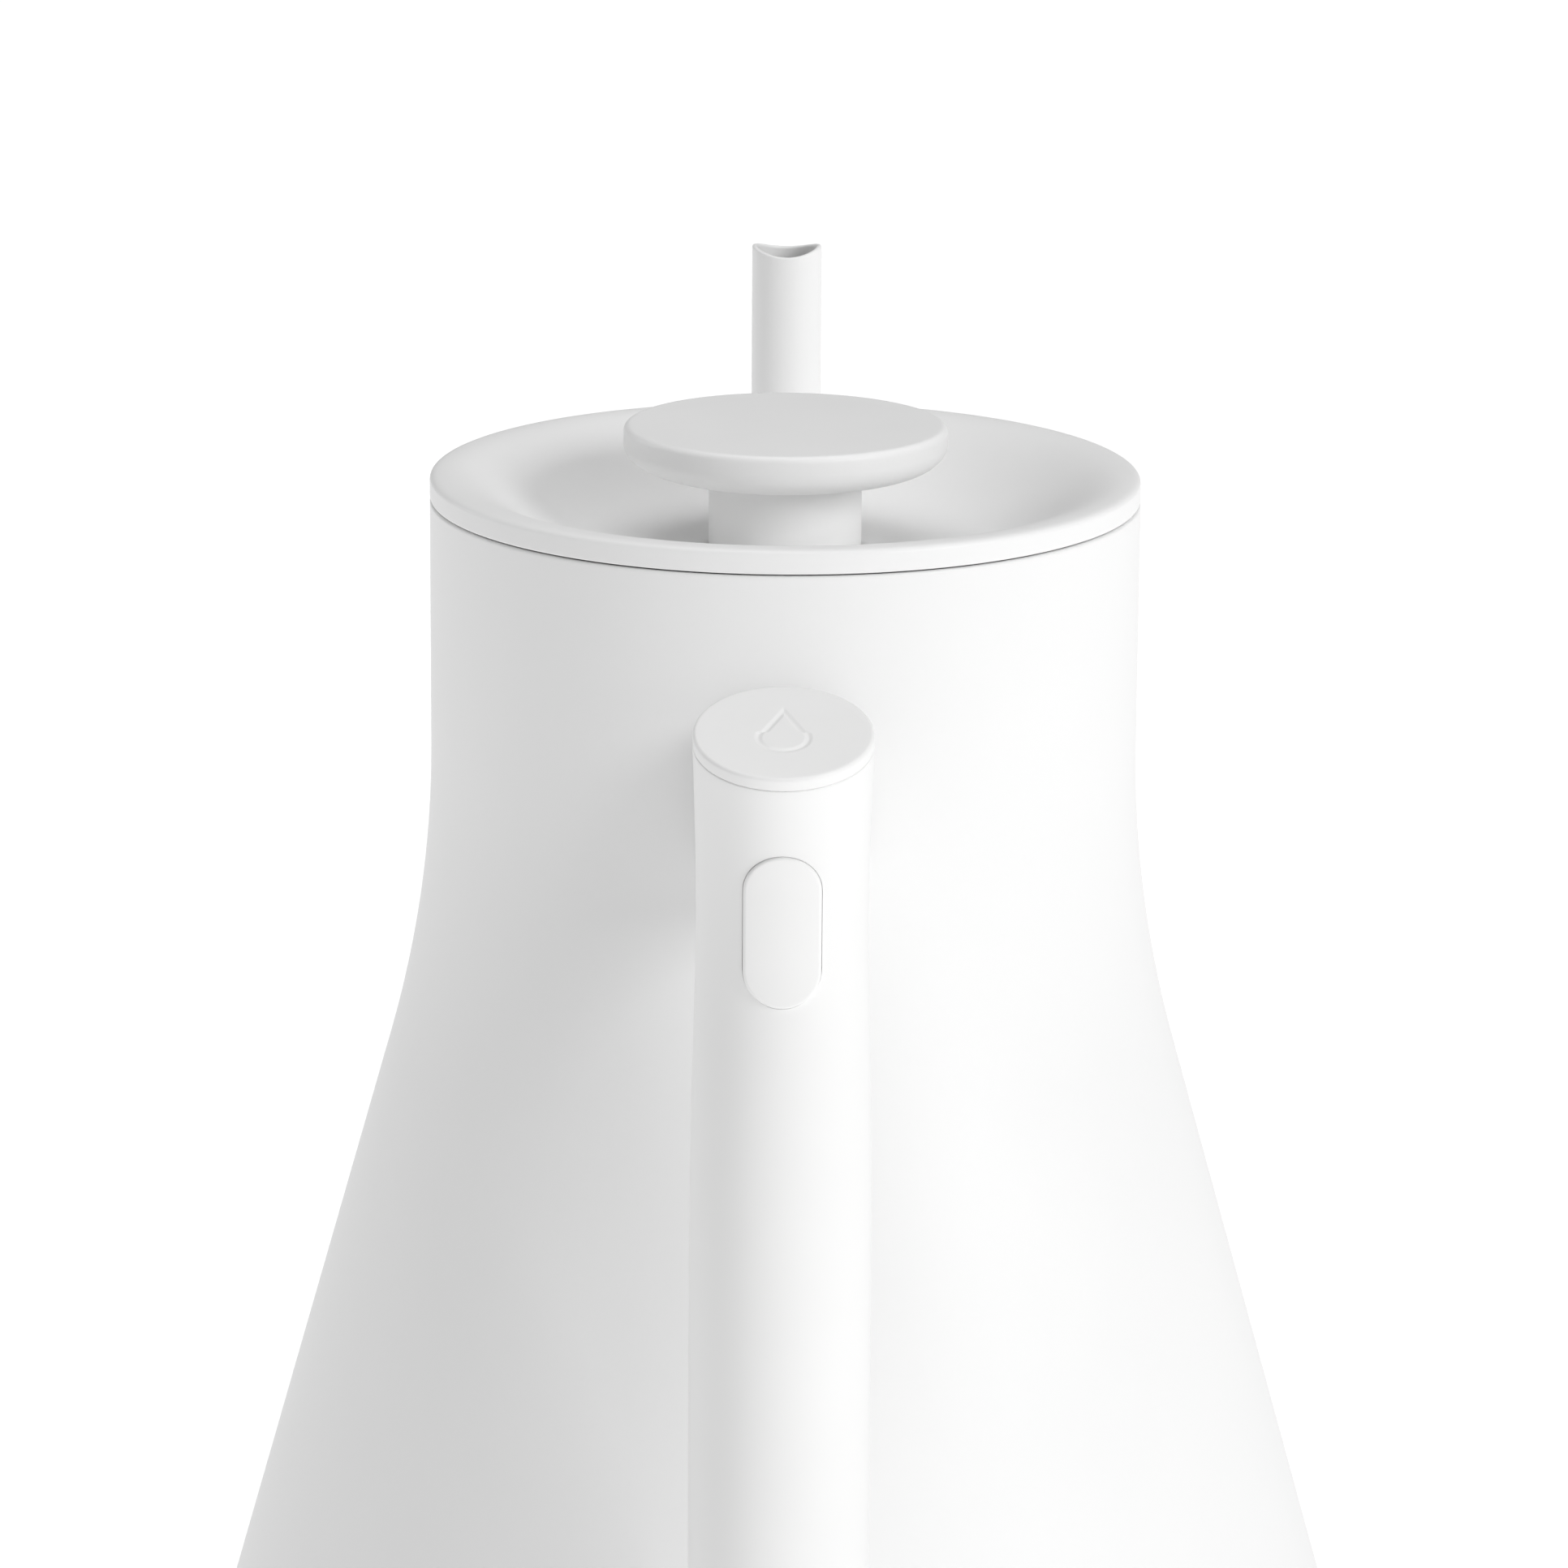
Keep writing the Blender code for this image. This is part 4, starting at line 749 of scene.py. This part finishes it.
def arm():
    """Oval beam that flares into a saddle on the neck: width, height and corner grow as half a wave."""
    seat = NECK_RADIUS + PAD_THICKNESS + 2 * PAD_GAP
    start = HANDLE_Y - 1.0
    rows = []
    beam = np.linspace(start + 3, -FLARE_START - 0.5, 12)
    flare = np.linspace(-FLARE_START, -seat - 1.4, 30)
    spots = np.concatenate([[start, start + 0.4], beam, flare])
    for y in spots:
        share = np.clip((y + FLARE_START) / (FLARE_START - seat - FLANGE_EDGE), 0, 1)
        grow = 0.5 - 0.5 * np.cos(np.pi * share)
        tuck = 0.4 if y == start else 0.0
        width = BEAM_WIDTH + (FLANGE_WIDTH - BEAM_WIDTH) * grow - tuck
        height = BEAM_HEIGHT + (FLANGE_HEIGHT - BEAM_HEIGHT) * grow - tuck
        corner = BEAM_CORNER + (FLANGE_CORNER - BEAM_CORNER) * grow - tuck / 2
        flat = rounded_box(width, height, corner, 16)
        y_row = np.full(len(flat), float(y))
        if share > 0:
            saddle = -np.sqrt(seat**2 - flat[:, 0] ** 2) + seat
            y_row = y_row + saddle * share
        rows.append(np.stack([flat[:, 0], y_row, flat[:, 1] + BUTTON_Z], -1))
    flat = rounded_box(FLANGE_WIDTH, FLANGE_HEIGHT, FLANGE_CORNER, 16)
    for inset, gap in ((0.0, 0.9), (0.0, 0.35), (0.25, 0.1), (0.6, 0.0)):
        x = flat[:, 0] * (1 - 2 * inset / FLANGE_WIDTH)
        z = flat[:, 1] * (1 - 2 * inset / FLANGE_HEIGHT) + BUTTON_Z
        rows.append(np.stack([x, -np.sqrt((seat + gap) ** 2 - x**2), z], -1))
    inner = []
    for part in (0.75, 0.5, 0.25, 0.0):
        x = flat[:, 0] * part
        inner.append(np.stack([x, -np.sqrt(seat**2 - x**2), flat[:, 1] * part + BUTTON_Z], -1))
    first = rows[0]
    low = [first.mean(0) + (first - first.mean(0)) * part for part in (0.0, 0.5, 0.95)]
    piece = skin("handle_arm", np.array(low + rows + inner))
    bore = [(0, -120), (3.65, -120), (3.65, -107.0), (1.85, -107.0),
            (1.85, -54.1), (4.7, -54.1), (4.7, -45), (0, -45)]
    carve(piece, turned("arm_bore", bore, 64, start=(0, 0, BUTTON_Z), axis=(0, 1, 0)))
    return piece


def arm_pad():
    """Thin silicone pad bent to the neck between it and the arm."""
    rows = []
    flat = rounded_box(FLANGE_WIDTH, FLANGE_HEIGHT, FLANGE_CORNER, 16)
    near, far = PAD_GAP, PAD_GAP + PAD_THICKNESS
    for part, gap in ((0.3, near), (0.8, near), (0.985, near), (1.0, near + 0.2),
                      (1.0, far - 0.2), (0.985, far), (0.8, far), (0.3, far)):
        x = flat[:, 0] * part
        z = flat[:, 1] * part + BUTTON_Z
        rows.append(np.stack([x, -np.sqrt((NECK_RADIUS + gap) ** 2 - x**2), z], -1))
    return skin("arm_pad", np.array(rows), along=True)


def screws():
    """Socket-head screws inside the neck: a domed head with a hexagon recess, and a plain shank."""
    made = []
    for side, x, rise in (("left", -8.0, 7.0), ("right", 8.0, 7.0), ("lower", 0.0, -9.5)):
        seat = -np.sqrt(51.0**2 - (abs(x) + 2.5) ** 2) + 1.4
        tip = -58.3
        points = [(0, tip), (1.5, tip, 0.5), (1.5, seat), (2.5, seat, 0.15),
                  (2.5, seat + 1.6, 0.7), (0, seat + 1.6)]
        piece = turned(f"{side}_flange_screw", points, 64, start=(x, 0, BUTTON_Z + rise), axis=(0, 1, 0))
        hexagon = [(0, seat + 0.5), (1.35, seat + 0.5), (1.35, seat + 3), (0, seat + 3)]
        carve(piece, turned("key", hexagon, 6, start=(x, 0, BUTTON_Z + rise), axis=(0, 1, 0)))
        made.append(piece)
    return made


# ---------- stage ----------

def floor_piece():
    """Plain white floor, far wider than the view."""
    mesh = bpy.data.meshes.new("floor")
    spots = [(x, y, -0.0005) for x, y in ((-6, -6), (6, -6), (6, 6), (-6, 6))]
    mesh.from_pydata(spots, [], [(0, 1, 2, 3)])
    piece = bpy.data.objects.new("floor", mesh)
    bpy.context.collection.objects.link(piece)
    made, shader, here = material("floor white", {"Roughness": 0.9, "Specular IOR Level": 0.0})
    feed(shader, Base_Color=here.noise(3.0).tint((0.29, 0.29, 0.29), (0.31, 0.31, 0.31)))
    shader.inputs["Emission Color"].default_value = (1, 1, 1, 1)
    shader.inputs["Emission Strength"].default_value = 0.87
    mesh.materials.append(made)
    return piece


def lamp(name, place, target, size, power):
    """Square area light that faces a target."""
    data = bpy.data.lights.new(name, "AREA")
    data.shape = "SQUARE"
    data.size = size
    data.energy = power
    piece = bpy.data.objects.new(name, data)
    piece.location = place
    piece.rotation_euler = (Vector(target) - Vector(place)).to_track_quat("-Z", "Y").to_euler()
    bpy.context.collection.objects.link(piece)
    return piece


def camera():
    """Long-lens camera in front of the handle, a little above the lid, with a slight roll."""
    pitch, turn, roll = np.radians(14.6), 0.0, np.radians(0.38)
    forward = np.array([np.cos(pitch) * np.sin(turn), np.cos(pitch) * np.cos(turn), -np.sin(pitch)])
    right = np.array([np.cos(turn), -np.sin(turn), 0])
    up = np.cross(right, forward)
    right, up = right * np.cos(roll) + up * np.sin(roll), up * np.cos(roll) - right * np.sin(roll)
    data = bpy.data.cameras.new("camera")
    data.lens = 167.7
    data.sensor_width = 36.0
    data.clip_start = 0.05
    piece = bpy.data.objects.new("camera", data)
    table = np.eye(4)
    table[:3, 0], table[:3, 1], table[:3, 2] = right, up, -forward
    table[:3, 3] = (0.0001, -1.046, 0.4148)
    piece.matrix_world = Matrix(table.tolist())
    bpy.context.collection.objects.link(piece)
    bpy.context.scene.camera = piece


def light():
    """Even white surround, a key from the right in front, a top light, and weak front and edge lights."""
    world = bpy.data.worlds.new("surround")
    world.use_nodes = True
    ground = next(node for node in world.node_tree.nodes if node.type == "BACKGROUND")
    ground.inputs["Color"].default_value = (1, 1, 1, 1)
    ground.inputs["Strength"].default_value = 0.245
    bpy.context.scene.world = world
    bpy.context.scene.view_settings.view_transform = "Standard"
    lamp("key light", (2.14, -1.68, 1.37), (0, 0, 0.1), 1.1, 36.0)
    lamp("top light", (0.0, 0.2, 2.9), (0, 0, 0.1), 2.0, 33.0)
    lamp("front fill", (0.8, -2.2, 1.0), (0, 0, 0.1), 0.8, 4.0)
    lamp("edge light", (-2.4, 1.4, 1.0), (0, 0, 0.1), 1.0, 8.0)


# ---------- assembly ----------

def dress(piece, finish, body_name, slot, *nodes):
    """Gives a piece its material and the body it moves with, and hides the CAD nodes it stands for; slot is
    not used.
    """
    piece.data.materials.clear()
    piece.data.materials.append(finish)
    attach(piece, body_name)
    if nodes:
        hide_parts(*nodes)


def main():
    """Loads the frame, adds every visible piece, the floor, lights and camera."""
    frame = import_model()
    coat, plastic, steel, turned_metal = powder_coat(), moulded_plastic(), plain_steel(), turned_steel()
    wire, rubber, plated = drawn_steel(), silicone(), nickel()
    cup, disc = whistle()
    left, right, lower = screws()
    for piece, finish, moves, slot, node in (
        (body(), coat, "kettle", "white_enamel", "body_shell"),
        (floor_disc(), coat, "kettle", "white_enamel", "body_floor"),
        (base(), turned_metal, "kettle", "brushed_steel", "base_plate"),
        (spout(), coat, "kettle", "white_enamel", "spout_tube"),
        (collar(), coat, "kettle", "white_enamel", "spout_collar"),
        (arm(), plastic, "kettle", "white_plastic", "bridge_arm"),
        (arm_pad(), rubber, "kettle", "grey_silicone", "arm_gasket"),
        (left, steel, "kettle", "brushed_steel", "arm_screw_left"),
        (right, steel, "kettle", "brushed_steel", "arm_screw_right"),
        (lower, steel, "kettle", "brushed_steel", "arm_screw_lower"),
        (grip(), plastic, "kettle", "white_plastic", "handle_grip"),
        (cap(), plastic, "kettle", "white_plastic", "handle_top_cap"),
        (end_plug(), plastic, "kettle", "white_plastic", "handle_end_plug"),
        (button(), plastic, "button", "white_plastic", "thumb_button"),
        (lid(), coat, "lid", "white_enamel", "lid_plate"),
        (skirt(), turned_metal, "lid", "brushed_steel", "lid_skirt"),
        (seal(), rubber, "lid", "grey_silicone", "lid_gasket"),
        (knob(), coat, "lid", "white_enamel", "knob_cap"),
        (stem(), coat, "lid", "white_enamel", "knob_stem"),
        (washer(), rubber, "lid", "grey_silicone", "stem_washer"),
        (nut(), steel, "lid", "brushed_steel", "stem_nut"),
        (cup, turned_metal, "lid", "brushed_steel", "whistle_cup"),
        (disc, turned_metal, "lid", "brushed_steel", "whistle_disc"),
    ):
        dress(piece, finish, moves, slot, node)
    for finish, nodes in (
        (steel, ("latch_bracket", "handle_tie_rod", "handle_tie_screw", "keeper_plate", "latch_rocker")),
        (wire, ("push_rod", "button_spring", "latch_pin")),
        (rubber, ("rod_seal",)),
        (plated, ("catch_magnet",)),
    ):
        for node in nodes:
            piece = frame["nodes"][node]
            for place in range(len(piece.material_slots)):
                piece.material_slots[place].material = finish
    floor_piece()
    light()
    camera()


main()
